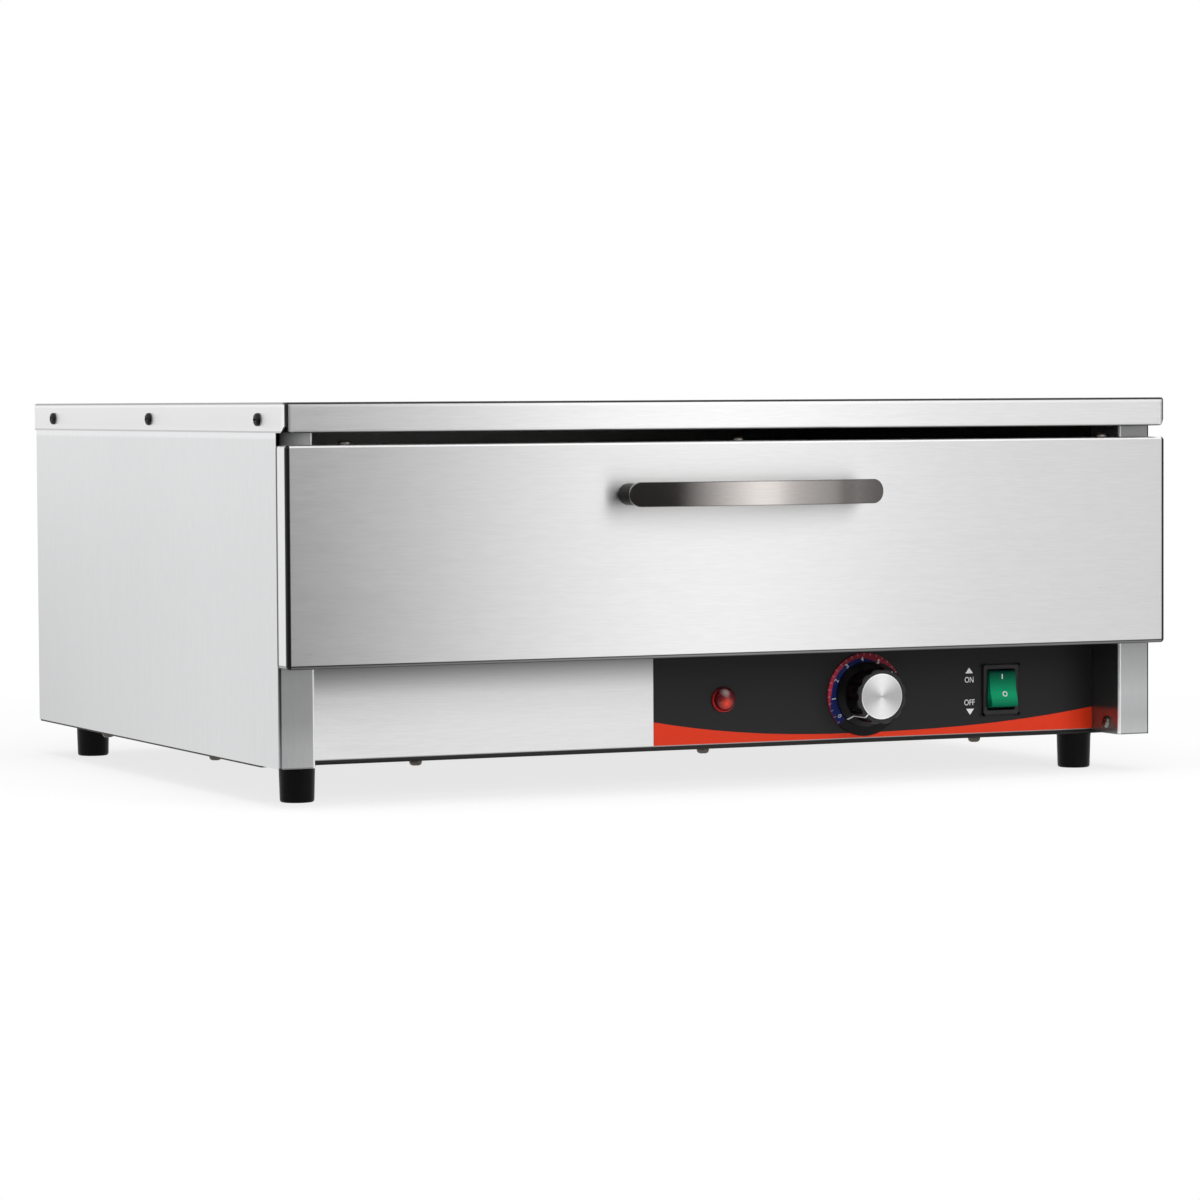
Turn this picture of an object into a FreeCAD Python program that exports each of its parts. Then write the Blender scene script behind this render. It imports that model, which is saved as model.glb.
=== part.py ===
import FreeCAD, Part
import Sketcher
import math
import os
import re

# Freestanding warming drawer for a counter top: folded stainless casing on four rubber feet, one
# drawer on three-member slides, and a recessed control fascia under it.
# Millimetres, +Z up, the front faces -Y. The origin is on the floor, under the middle of the box
# that holds the whole object.

doc = FreeCAD.newDocument("warming_drawer")

# Driving sizes: each can be set by itself
SIZES = {
    # Casing
    "overall_width": 580.0,
    "cap_depth": 482.0,
    "cap_height": 17.5,
    "cap_overhang": 17.0,
    "cap_lip": 13.0,
    "cap_corner_radius": 2.5,
    "casing_sheet": 1.0,
    "bend_radius": 1.5,
    "body_height": 210.0,
    "post_width": 22.0,
    "rear_flange": 16.0,
    "floor_flange": 16.0,
    "base_sheet": 1.2,
    "base_setback": 1.0,
    "seam_gap": 0.5,
    # Feet
    "foot_height": 22.0,
    "foot_top_diameter": 21.6,
    "foot_bottom_diameter": 20.2,
    "foot_side_inset": 28.5,
    "foot_front_inset": 46.0,
    "foot_rear_inset": 31.0,
    "foot_seat": 6.0,
    "foot_edge_radius": 1.2,
    # Screws
    "screw_shank": 4.0,
    "screw_head": 7.7,
    "screw_head_height": 2.4,
    "screw_length": 8.0,
    "screw_clearance": 0.2,
    "cap_screw_drop": 9.9,
    "cap_screw_inset": 45.0,
    "base_screw_side_inset": 79.0,
    "base_screw_inset": 10.0,
    "fascia_screw_rise": 7.0,
    "fascia_screw_front": 14.0,
    "rear_screw_rise": 34.0,
    "rear_screw_drop": 14.5,
    "front_screw_inset": 40.0,
    "floor_screw_inset": 90.0,
    # Control fascia and overlay
    "fascia_setback": 33.0,
    "fascia_flange": 25.0,
    "fascia_lip": 15.0,
    "overlay_sheet": 0.4,
    "overlay_lead": 46.3,
    "overlay_margin": 2.0,
    "compartment_height": 61.0,
    "control_rise": 28.6,
    # Drawer front, box and slides
    "drawer_gap": 6.9,
    "front_overlap": 1.9,
    "front_clearance": 0.5,
    "front_corner_radius": 2.0,
    "inner_flange": 11.0,
    "box_sheet": 1.0,
    "box_floor_gap": 22.0,
    "box_headroom": 17.0,
    "box_rear_gap": 15.0,
    "box_rim": 8.0,
    "rail_height": 45.0,
    "rail_space": 12.7,
    "rail_sheet": 1.2,
    "rail_play": 0.4,
    "rail_setback": 2.0,
    "rail_rear_gap": 10.0,
    "rivet_shank": 4.0,
    "rivet_head": 7.0,
    "rivet_head_height": 1.2,
    "rivet_inset": 40.0,
    # Handle
    "handle_length": 167.4,
    "handle_height": 14.6,
    "handle_thickness": 4.0,
    "handle_bow": 11.0,
    "handle_standoff": 13.0,
    "handle_end": 7.4,
    "handle_boss": 13.0,
    "handle_drop": 30.6,
    # Liner and insulation
    "liner_sheet": 1.0,
    "liner_inset": 3.0,
    "liner_flange": 14.0,
    "roof_rise": 0.5,
    "wool_gap": 2.5,
    "rear_wool": 16.0,
    # Heater and sensing bulb
    "heater_diameter": 8.0,
    "heater_rise": 10.0,
    "heater_side_gap": 46.0,
    "heater_setback": 80.0,
    "heater_rear_gap": 93.0,
    "heater_lead": 22.0,
    "heater_drop": 22.0,
    "heater_bend": 9.0,
    "heater_clearance": 0.3,
    "bracket_sheet": 1.5,
    "bracket_foot": 12.0,
    "bracket_spacing": 140.0,
    "bracket_margin": 14.0,
    "stud_diameter": 4.0,
    "stud_length": 8.0,
    "bulb_diameter": 6.0,
    "bulb_length": 90.0,
    "bulb_rise": 9.0,
    "bulb_setback": 21.0,
    "bulb_lead": 38.0,
    "capillary_diameter": 1.6,
    "capillary_bend": 8.0,
    "clip_width": 6.0,
    "clip_wall": 2.5,
    "clip_inset": 15.0,
    # Thermostat, dial and knob
    "knob_pitch": 95.3,
    "thermostat_width": 44.0,
    "thermostat_height": 36.0,
    "thermostat_depth": 28.0,
    "bush_diameter": 10.0,
    "bush_collar": 2.0,
    "bush_reach": 3.0,
    "nut_width": 14.0,
    "nut_height": 2.5,
    "shaft_diameter": 6.0,
    "shaft_play": 0.05,
    "shaft_reach": 15.0,
    "shaft_seat": 12.0,
    "dial_diameter": 51.2,
    "dial_thickness": 1.6,
    "knob_float": 0.5,
    "knob_skirt": 40.0,
    "knob_skirt_edge": 2.2,
    "knob_skirt_height": 6.0,
    "knob_grip": 32.4,
    "knob_height": 22.0,
    "knob_rim": 1.0,
    "knob_room": 24.0,
    "knob_room_height": 4.5,
    "flute_radius": 3.0,
    "flute_bite": 0.7,
    "flute_count": 18,
    "disc_diameter": 28.4,
    "disc_thickness": 1.0,
    # Pilot lamp
    "lamp_pitch": 96.4,
    "lamp_bezel": 15.4,
    "lamp_bezel_height": 2.0,
    "lamp_barrel": 11.4,
    "lamp_depth": 22.0,
    "lens_diameter": 13.2,
    "lens_height": 5.0,
    "lens_stem": 9.0,
    "lens_stem_length": 6.0,
    "lamp_nut": 17.0,
    "lamp_nut_height": 3.0,
    "fit_clearance": 0.1,
    # Rocker switch
    "rocker_inset": 66.5,
    "switch_bezel_width": 25.2,
    "switch_bezel_height": 31.3,
    "switch_bezel_thickness": 2.0,
    "switch_body_width": 22.0,
    "switch_body_height": 28.0,
    "switch_depth": 22.0,
    "rocker_width": 18.6,
    "rocker_height": 23.0,
    "rocker_rise": 4.5,
    "rocker_waist": 3.2,
    "rocker_back": 1.0,
    "rocker_root": 5.0,
    "rocker_root_height": 6.0,
    "rocker_tilt": 10.0,
    "rocker_pivot_depth": 2.5,
    "rocker_side_gap": 0.3,
    "rocker_end_gap": 1.0,
    "trunnion_diameter": 3.0,
    "trunnion_length": 0.9,
    "trunnion_play": 0.05,
    "well_depth": 9.0,
    # Terminals, inlet and vents
    "spade_width": 6.3,
    "spade_thickness": 0.8,
    "spade_length": 8.0,
    "spade_spacing": 14.0,
    "block_width": 42.0,
    "block_depth": 20.0,
    "block_height": 18.0,
    "block_offset": 60.0,
    "block_setback": 70.0,
    "block_well": 6.0,
    "block_well_depth": 6.0,
    "block_pitch": 13.0,
    "inlet_inset": 88.0,
    "inlet_rise": 32.0,
    "inlet_width": 27.0,
    "inlet_height": 20.0,
    "inlet_wall": 1.6,
    "inlet_depth": 20.0,
    "inlet_socket_depth": 15.0,
    "inlet_flange": 3.2,
    "inlet_flange_width": 50.0,
    "inlet_flange_height": 24.0,
    "inlet_screw_spacing": 40.0,
    "pin_width": 2.0,
    "pin_height": 4.0,
    "pin_recess": 3.0,
    "pin_tail": 8.0,
    "pin_spacing": 14.0,
    "pin_offset": 3.0,
    "vent_width": 3.0,
    "vent_height": 30.0,
    "vent_pitch": 12.0,
    "vent_rise": 18.0,
    "vent_inset": 128.0,
    "vent_count": 14,
    "wire_diameter": 2.2,
    "wire_bend": 5.0,
    "wire_step": 10.0,
}

# Places worked out from the sizes
PLACES = {
    # Across, from the middle plane outwards
    "cap_side": "overall_width / 2",
    "body_side": "cap_side - casing_sheet",
    "body_inside": "body_side - casing_sheet",
    "post_inner": "body_side - post_width",
    "return_outer": "post_inner + casing_sheet",
    "fascia_outer": "return_outer + casing_sheet",
    "liner_outer": "return_outer + liner_sheet",
    "box_side": "return_outer - rail_space",
    "foot_across": "cap_side - foot_side_inset",
    "rocker_side": "post_inner - rocker_inset",
    "knob_side": "rocker_side - knob_pitch",
    "lamp_side": "knob_side - lamp_pitch",
    "overlay_start": "lamp_side - overlay_lead",
    "base_screw_side": "post_inner - base_screw_side_inset",
    "front_screw_side": "cap_side - front_screw_inset",
    "inlet_side": "body_inside - inlet_inset",
    "block_side": "inlet_side - block_offset",
    "vent_start": "body_inside - vent_inset",
    "heater_run": "2 * (return_outer - heater_side_gap - heater_lead)",
    "handle_spacing": "handle_length - 2 * handle_end",
    # From the front to the back
    "handle_reach": "handle_standoff + handle_bow + handle_thickness",
    "rear_reach": "screw_head_height - casing_sheet",
    "cap_front": "-(cap_depth + rear_reach - handle_reach) / 2",
    "cap_rear": "cap_front + cap_depth",
    "body_front": "cap_front + cap_overhang",
    "body_rear": "cap_rear - casing_sheet",
    "rear_panel_back": "body_rear - casing_sheet",
    "rear_panel_front": "rear_panel_back - casing_sheet",
    "front_back": "body_front - front_clearance",
    "fascia_face": "body_front + fascia_setback",
    "fascia_back": "fascia_face + casing_sheet",
    "overlay_face": "fascia_face - overlay_sheet",
    "dial_face": "overlay_face - dial_thickness",
    "liner_rear": "rear_panel_front - rear_wool",
    "box_rear": "liner_rear - liner_sheet - box_rear_gap",
    "rail_front": "fascia_face + rail_setback",
    "rail_rear": "liner_rear - liner_sheet - rail_rear_gap",
    "heater_front": "fascia_face + heater_setback",
    "heater_pitch": "(liner_rear - heater_rear_gap - heater_front) / 3",
    "bulb_line": "fascia_face + bulb_setback",
    "block_line": "rear_panel_front - block_setback",
    "pivot_line": "overlay_face - switch_bezel_thickness + rocker_pivot_depth",
    "switch_back": "fascia_face + switch_depth",
    "thermostat_back": "fascia_back + bush_collar + thermostat_depth",
    "foot_front": "body_front + foot_front_inset",
    "foot_rear": "body_rear - foot_rear_inset",
    "base_front": "fascia_face + base_setback",
    "base_screw_line": "fascia_face + base_screw_inset",
    # From the floor upwards
    "base_top": "foot_height + base_sheet",
    "cap_top": "base_top + body_height",
    "cap_underside": "cap_top - casing_sheet",
    "cap_bottom": "cap_top - cap_height",
    "drawer_top": "cap_bottom - drawer_gap",
    "divider_bottom": "base_top + compartment_height",
    "divider_top": "divider_bottom + liner_sheet",
    "drawer_bottom": "divider_bottom - front_overlap",
    "roof_bottom": "cap_bottom + roof_rise",
    "roof_top": "roof_bottom + liner_sheet",
    "box_bottom": "divider_top + box_floor_gap",
    "box_top": "roof_bottom - box_headroom",
    "rail_line": "(box_bottom + box_top) / 2",
    "handle_line": "drawer_top - handle_drop",
    "control_line": "base_top + control_rise",
    "heater_line": "divider_top + heater_rise",
    "bulb_height": "divider_top + bulb_rise",
    "inlet_line": "base_top + inlet_rise",
    "cap_screw_line": "cap_top - cap_screw_drop",
    "fascia_screw_line": "base_top + fascia_screw_rise",
    # Radii of holes and of the handle's bow
    "screw_hole": "screw_shank / 2 + screw_clearance",
    "bush_hole": "bush_diameter / 2 + fit_clearance",
    "lamp_hole": "lamp_barrel / 2 + fit_clearance",
    "heater_hole": "heater_diameter / 2 + heater_clearance",
    "bow_radius": "((handle_length / 2)^2 + handle_bow^2) / (2 * handle_bow)",
}


def with_sheet(match):
    """A size or place name, behind the sheet that holds it."""
    name = match.group()
    if name in SIZES:
        return f"sizes.{name}"
    if name in PLACES:
        return f"places.{name}"
    return name


def expand(text):
    return re.sub(r"[a-z_]+", with_sheet, str(text))


def bind(thing, path, text):
    thing.setExpression(path, expand(text))


sizes = doc.addObject("Spreadsheet::Sheet", "sizes")
for row, (alias, number) in enumerate(SIZES.items(), 1):
    sizes.set(f"A{row}", str(number))
    sizes.setAlias(f"A{row}", alias)
places = doc.addObject("Spreadsheet::Sheet", "places")
for row, (alias, formula) in enumerate(PLACES.items(), 1):
    places.set(f"A{row}", f"={expand(formula)}")
    places.setAlias(f"A{row}", alias)
doc.recompute()


def value(alias):
    """The number that a size or place now has."""
    holder = sizes if alias in SIZES else places
    return float(holder.get(alias))


def number(formula):
    """The number that a formula of sizes and places now gives."""
    return float(places.evalExpression(expand(formula)))


# Sketches, pads and turned pieces

ROLES = {"XY": "XY_Plane", "XZ": "XZ_Plane", "YZ": "YZ_Plane"}
TURNS = {
    "+X": FreeCAD.Vector(1, 0, 0),
    "-X": FreeCAD.Vector(-1, 0, 0),
    "+Y": FreeCAD.Vector(0, 1, 0),
    "-Y": FreeCAD.Vector(0, -1, 0),
    "+Z": FreeCAD.Vector(0, 0, 1),
    "-Z": FreeCAD.Vector(0, 0, -1),
}
UP = FreeCAD.Vector(0, 0, 1)
# Cuts start and end this far outside the material
CUT = 1.0
# Two places closer than this are the same place
NEAR = 0.01
# Shape of a pan head: height of its upright edge and width of its flat crown, of the whole
PAN_EDGE = 0.45
PAN_CROWN = 0.7
# Roundings as shares of the height they take, just short of all of it
DOME_SHARE = 0.95
FULL_ROUND_SHARE = 0.495
pieces = []


def new_body(label, piece=True):
    body = doc.addObject("PartDesign::Body", label)
    body.Label = label
    if piece:
        pieces.append(body)
    return body


def place(thing, across, back, up, axis="+Z"):
    """Stand a piece's own Z axis along the given axis, at a bound place."""
    thing.Placement = FreeCAD.Placement(FreeCAD.Vector(), FreeCAD.Rotation(UP, TURNS[axis]))
    bind(thing, "Placement.Base.x", across)
    bind(thing, "Placement.Base.y", back)
    bind(thing, "Placement.Base.z", up)


def sketch_at(body, plane, level):
    """An empty sketch square to X, Y or Z at a bound level of the body."""
    sketch = body.newObject("Sketcher::SketchObject", f"{body.Name}_sketch")
    support = [feature for feature in body.Origin.OriginFeatures if feature.Role == ROLES[plane]]
    sketch.AttachmentSupport = [(support[0], "")]
    sketch.MapMode = "FlatFace"
    bind(sketch, "AttachmentOffset.Base.z", f"-({level})" if plane == "XZ" else level)
    return sketch


def fix_point(sketch, geometry, end, across, up):
    """Hold one point of a sketch at bound distances from the sketch's origin."""
    first = sketch.ConstraintCount
    point = sketch.getPoint(geometry, end)
    sketch.addConstraint([
        Sketcher.Constraint("DistanceX", -1, 1, geometry, end, point.x),
        Sketcher.Constraint("DistanceY", -1, 1, geometry, end, point.y),
    ])
    bind(sketch, f"Constraints[{first}]", across)
    bind(sketch, f"Constraints[{first + 1}]", up)


def draw_polygon(sketch, corners):
    """Straight sides from corner to corner, each corner held at its place."""
    count = len(corners)
    first = sketch.GeometryCount
    points = [FreeCAD.Vector(number(across), number(up), 0) for across, up in corners]
    for i in range(count):
        sketch.addGeometry(Part.LineSegment(points[i], points[(i + 1) % count]), False)
    for i in range(count):
        following = first + (i + 1) % count
        sketch.addConstraint(Sketcher.Constraint("Coincident", first + i, 2, following, 1))
    for i, (across, up) in enumerate(corners):
        fix_point(sketch, first + i, 1, across, up)


def draw_circle(sketch, across, up, radius):
    centre = FreeCAD.Vector(number(across), number(up), 0)
    geometry = sketch.addGeometry(Part.Circle(centre, UP, number(radius)), False)
    fix_point(sketch, geometry, 3, across, up)
    sketch.addConstraint(Sketcher.Constraint("Radius", geometry, number(radius)))
    bind(sketch, f"Constraints[{sketch.ConstraintCount - 1}]", radius)


def draw(sketch, loops):
    """A loop is a list of corners, or a circle as (across, up, radius)."""
    for loop in loops:
        if isinstance(loop, list):
            draw_polygon(sketch, loop)
        else:
            draw_circle(sketch, *loop)


def rectangle(left, low, right, high):
    return [(left, low), (right, low), (right, high), (left, high)]


def centred(across, up, width, height):
    """A rectangle of the given width and height round a point."""
    return rectangle(f"{across} - {width} / 2", f"{up} - {height} / 2",
                     f"{across} + {width} / 2", f"{up} + {height} / 2")


def pad(body, plane, loops, low, high):
    """Material between two levels along the plane's own axis."""
    sketch = sketch_at(body, plane, low)
    draw(sketch, loops)
    feature = body.newObject("PartDesign::Pad", f"{body.Name}_pad")
    feature.Profile = sketch
    feature.Reversed = plane == "XZ"
    bind(feature, "Length", f"({high}) - ({low})")
    return feature


def pocket(body, plane, loops, low, high):
    """A cut between two levels along the plane's own axis."""
    sketch = sketch_at(body, plane, low)
    draw(sketch, loops)
    feature = body.newObject("PartDesign::Pocket", f"{body.Name}_pocket")
    feature.Profile = sketch
    feature.Reversed = plane != "XZ"
    bind(feature, "Length", f"({high}) - ({low})")
    return feature


def revolve(body, corners):
    """A turned piece: corners are (radius, height) along the body's own Z axis."""
    sketch = sketch_at(body, "XZ", "0")
    draw(sketch, [corners])
    feature = body.newObject("PartDesign::Revolution", f"{body.Name}_turned")
    feature.Profile = sketch
    feature.ReferenceAxis = (sketch, ["V_Axis"])
    feature.Angle = 360
    return feature


def round_edges(body, radius, wanted):
    """Fillet the edges of the body so far that the wanted test picks."""
    doc.recompute()
    base = body.Tip
    names = [f"Edge{i}" for i, edge in enumerate(base.Shape.Edges, 1) if wanted(edge)]
    feature = body.newObject("PartDesign::Fillet", f"{body.Name}_fillet")
    feature.Base = (base, names)
    bind(feature, "Radius", radius)
    return feature


def runs_along(edge, axis):
    """Whether an edge is straight and parallel to the axis."""
    if not isinstance(edge.Curve, Part.Line):
        return False
    return edge.Curve.Direction.cross(TURNS[axis]).Length < NEAR


def lies_at(number, *levels):
    return any(abs(number - level) < NEAR for level in levels)


def mirrored(side, corners):
    """Corners drawn for the right side, turned over for the left."""
    if side == "right":
        return corners
    return [(f"-({across})", up) for across, up in corners]


def span(side, near, far):
    """Low and high level of a stretch from near to far of the middle plane."""
    if side == "right":
        return near, far
    return f"-({far})", f"-({near})"


def to_side(side, across):
    return across if side == "right" else f"-({across})"


def group(label, members):
    """Like solids that stay apart, in one piece."""
    compound = doc.addObject("Part::Compound", label)
    compound.Label = label
    compound.Links = members
    pieces.append(compound)
    return compound


def pan_screw(name, across, back, up, axis, length="screw_length"):
    """Pan-head screw whose head faces the axis, seated at the given place."""
    screw = new_body(name, piece=False)
    revolve(screw, [
        ("0", f"-({length})"),
        ("screw_shank / 2", f"-({length})"),
        ("screw_shank / 2", "0"),
        ("screw_head / 2", "0"),
        ("screw_head / 2", f"screw_head_height * {PAN_EDGE}"),
        (f"screw_head * {PAN_CROWN} / 2", "screw_head_height"),
        ("0", "screw_head_height"),
    ])
    place(screw, across, back, up, axis)
    return screw


# Places that several pieces share
SIDES = ("left", "right")
CAP_SCREW_LINES = [
    "cap_front + cap_screw_inset",
    "(cap_front + cap_rear) / 2",
    "cap_rear - cap_screw_inset",
]
REAR_SCREW_LINES = [
    "base_top + rear_screw_rise",
    "(base_top + rear_screw_rise + cap_bottom - rear_screw_drop) / 2",
    "cap_bottom - rear_screw_drop",
]
BASE_SCREW_SIDES = [f"{i} * base_screw_side" for i in (-1, 0, 1)]
FLANGE_SCREW_LINES = ["foot_front + floor_screw_inset", "foot_rear - floor_screw_inset"]
RIVET_LINES = [
    "rail_front + rivet_inset",
    "(rail_front + rail_rear) / 2",
    "rail_rear - rivet_inset",
]
FRONT_SCREW_LINE = "front_back - inner_flange / 2"
HEATER_LEAD_SIDE = "heater_run / 2 + heater_lead"
HEATER_LINES = [f"heater_front + {i} * heater_pitch" for i in range(4)]
STUD_HIGH = "divider_bottom - heater_drop"
STUD_LOW = "divider_bottom - heater_drop - stud_length"
PIN_PLACES = [
    ("inlet_side - pin_spacing / 2", "inlet_line - pin_offset"),
    ("inlet_side + pin_spacing / 2", "inlet_line - pin_offset"),
    ("inlet_side", "inlet_line + pin_offset"),
]
INLET_SCREW_SIDES = [f"inlet_side + {i} * inlet_screw_spacing / 2" for i in (-1, 1)]
INLET_SCREW_SEAT = "rear_panel_back + inlet_flange - screw_head_height"
PIN_TAIL_END = "rear_panel_back - inlet_depth - pin_tail"
BOW_CENTRE = "cap_front - handle_standoff - handle_bow + bow_radius"
REAR_SCREW_SIDE = "body_side - rear_flange / 2"
FLANGE_SCREW_SIDE = "body_inside - floor_flange / 2"
FASCIA_SCREW_LINE = "body_front + fascia_screw_front"


# Casing

def make_side_panel(side):
    """One folded sheet: wall, front post with its return, rear flange and floor flange."""
    panel = new_body(f"{side}_side_panel")
    fold = [
        ("post_inner", "fascia_face"),
        ("post_inner", "body_front"),
        ("body_side", "body_front"),
        ("body_side", "body_rear"),
        ("body_side - rear_flange", "body_rear"),
        ("body_side - rear_flange", "rear_panel_back"),
        ("body_inside", "rear_panel_back"),
        ("body_inside", "body_front + casing_sheet"),
        ("return_outer", "body_front + casing_sheet"),
        ("return_outer", "fascia_face"),
    ]
    pad(panel, "XY", [mirrored(side, fold)], "base_top", "cap_underside")
    flange = rectangle("body_inside - floor_flange", "fascia_back + seam_gap",
                       "body_inside", "rear_panel_front - seam_gap")
    pad(panel, "XY", [mirrored(side, flange)], "base_top", "base_top + casing_sheet")
    notch = rectangle(f"post_inner - {CUT}", "body_front + casing_sheet + seam_gap",
                      "return_outer", f"fascia_face + {CUT}")
    pocket(panel, "XY", [mirrored(side, notch)], "roof_bottom - seam_gap", "cap_top")
    cap_holes = [(line, "cap_screw_line", "screw_hole") for line in CAP_SCREW_LINES]
    pocket(panel, "YZ", cap_holes, *span(side, f"body_inside - {CUT}", f"body_side + {CUT}"))
    fascia_hole = (FASCIA_SCREW_LINE, "fascia_screw_line", "screw_hole")
    pocket(panel, "YZ", [fascia_hole], *span(side, f"post_inner - {CUT}", "return_outer"))
    rear_holes = [(to_side(side, REAR_SCREW_SIDE), line, "screw_hole") for line in REAR_SCREW_LINES]
    pocket(panel, "XZ", rear_holes, "rear_panel_back", f"body_rear + {CUT}")
    floor_holes = [(to_side(side, FLANGE_SCREW_SIDE), line, "screw_hole") for line in FLANGE_SCREW_LINES]
    pocket(panel, "XY", floor_holes, f"base_top - {CUT}", "base_top + casing_sheet")
    corners = (value("body_side"), value("post_inner"))
    ends = (value("body_front"), value("body_rear"))
    round_edges(panel, "bend_radius", lambda edge: runs_along(edge, "+Z")
                and lies_at(abs(edge.CenterOfMass.x), *corners)
                and lies_at(edge.CenterOfMass.y, *ends))


def make_top_cap():
    """Shallow folded tray, upside down, with a lip turned back under its front."""
    cap = new_body("top_cap")
    outer = rectangle("-cap_side", "cap_front", "cap_side", "cap_rear")
    pad(cap, "XY", [outer], "cap_bottom", "cap_top")
    inner = rectangle("-body_side", "cap_front + casing_sheet", "body_side", "body_rear")
    pocket(cap, "XY", [inner], f"cap_bottom - {CUT}", "cap_underside")
    lip = rectangle("-body_side", "cap_front + casing_sheet", "body_side", "cap_front + cap_lip")
    pad(cap, "XY", [lip], "cap_bottom", "cap_bottom + casing_sheet")
    for side in SIDES:
        holes = [(line, "cap_screw_line", "screw_hole") for line in CAP_SCREW_LINES]
        pocket(cap, "YZ", holes, *span(side, f"body_side - {CUT}", f"cap_side + {CUT}"))
    sides = (value("cap_side"),)
    ends = (value("cap_front"), value("cap_rear"))
    round_edges(cap, "cap_corner_radius", lambda edge: runs_along(edge, "+Z")
                and lies_at(abs(edge.CenterOfMass.x), *sides)
                and lies_at(edge.CenterOfMass.y, *ends))
    round_edges(cap, "bend_radius", lambda edge: lies_at(edge.CenterOfMass.z, value("cap_top")))


def make_rear_panel():
    """Flat sheet behind the flanges, with the inlet's cut-out and a row of vent slots."""
    panel = new_body("rear_panel")
    sheet = rectangle("-body_inside + seam_gap", "base_top + casing_sheet + seam_gap",
                      "body_inside - seam_gap", "cap_underside - seam_gap")
    pad(panel, "XZ", [sheet], "rear_panel_front", "rear_panel_back")
    openings = [centred("inlet_side", "inlet_line", "(inlet_width + 2 * fit_clearance)",
                        "(inlet_height + 2 * fit_clearance)")]
    for side in SIDES:
        openings += [(to_side(side, REAR_SCREW_SIDE), line, "screw_hole") for line in REAR_SCREW_LINES]
    openings += [(across, "inlet_line", "screw_hole") for across in INLET_SCREW_SIDES]
    for i in range(int(value("vent_count"))):
        left = f"-vent_start + {i} * vent_pitch"
        openings.append(rectangle(left, "base_top + vent_rise",
                                  f"{left} + vent_width", "base_top + vent_rise + vent_height"))
    pocket(panel, "XZ", openings, f"rear_panel_front - {CUT}", f"rear_panel_back + {CUT}")


def make_base_plate():
    plate = new_body("base_plate")
    sheet = rectangle("-body_inside", "base_front", "body_inside", "body_rear - seam_gap")
    pad(plate, "XY", [sheet], "foot_height", "base_top")
    holes = [(across, "base_screw_line", "screw_hole") for across in BASE_SCREW_SIDES]
    for side in SIDES:
        holes += [(to_side(side, FLANGE_SCREW_SIDE), line, "screw_hole") for line in FLANGE_SCREW_LINES]
        holes += [(to_side(side, "foot_across"), line, "screw_hole") for line in ("foot_front", "foot_rear")]
    pocket(plate, "XY", holes, f"foot_height - {CUT}", f"base_top + {CUT}")


def make_feet():
    """Moulded rubber feet, each counterbored from below for its screw."""
    for side in SIDES:
        for end in ("front", "rear"):
            foot = new_body(f"{side}_{end}_foot")
            revolve(foot, [
                ("screw_hole", "foot_height"),
                ("screw_hole", "foot_seat"),
                ("screw_head / 2 + screw_clearance", "foot_seat"),
                ("screw_head / 2 + screw_clearance", "0"),
                ("foot_bottom_diameter / 2", "0"),
                ("foot_top_diameter / 2", "foot_height"),
            ])
            round_edges(foot, "foot_edge_radius", lambda edge: lies_at(edge.CenterOfMass.z, 0)
                        and edge.Curve.Radius > value("screw_head"))
            place(foot, to_side(side, "foot_across"), f"foot_{end}", "0")


def make_casing_screws():
    cap_screws = []
    fascia_screws = []
    rear_screws = []
    base_screws = []
    foot_screws = []
    for side in SIDES:
        outward = "+X" if side == "right" else "-X"
        inward = "-X" if side == "right" else "+X"
        for line in CAP_SCREW_LINES:
            cap_screws.append(pan_screw(f"{side}_cap_screw", to_side(side, "cap_side"), line,
                                        "cap_screw_line", outward))
        fascia_screws.append(pan_screw(f"{side}_fascia_screw", to_side(side, "post_inner"),
                                       FASCIA_SCREW_LINE, "fascia_screw_line", inward))
        for line in REAR_SCREW_LINES:
            rear_screws.append(pan_screw(f"{side}_rear_screw", to_side(side, REAR_SCREW_SIDE),
                                         "body_rear", line, "+Y"))
        for line in FLANGE_SCREW_LINES:
            base_screws.append(pan_screw(f"{side}_floor_screw", to_side(side, FLANGE_SCREW_SIDE),
                                         line, "foot_height", "-Z"))
        for line in ("foot_front", "foot_rear"):
            foot_screws.append(pan_screw(f"{side}_foot_screw", to_side(side, "foot_across"), line,
                                         "foot_seat", "-Z", "foot_height - foot_seat + screw_length"))
    for across in BASE_SCREW_SIDES:
        base_screws.append(pan_screw("front_base_screw", across, "base_screw_line", "foot_height", "-Z"))
    for across in INLET_SCREW_SIDES:
        rear_screws.append(pan_screw("inlet_screw", across, INLET_SCREW_SEAT, "inlet_line", "+Y"))
    group("cap_screws", cap_screws)
    group("fascia_screws", fascia_screws)
    group("rear_screws", rear_screws)
    group("base_screws", base_screws)
    group("foot_screws", foot_screws)


# Control fascia

def control_holes(switch_margin):
    """Holes for the lamp, the thermostat bush and the switch."""
    return [
        ("lamp_side", "control_line", "lamp_hole"),
        ("knob_side", "control_line", "bush_hole"),
        centred("rocker_side", "control_line", f"(switch_body_width + 2 * {switch_margin})",
                f"(switch_body_height + 2 * {switch_margin})"),
    ]


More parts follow.
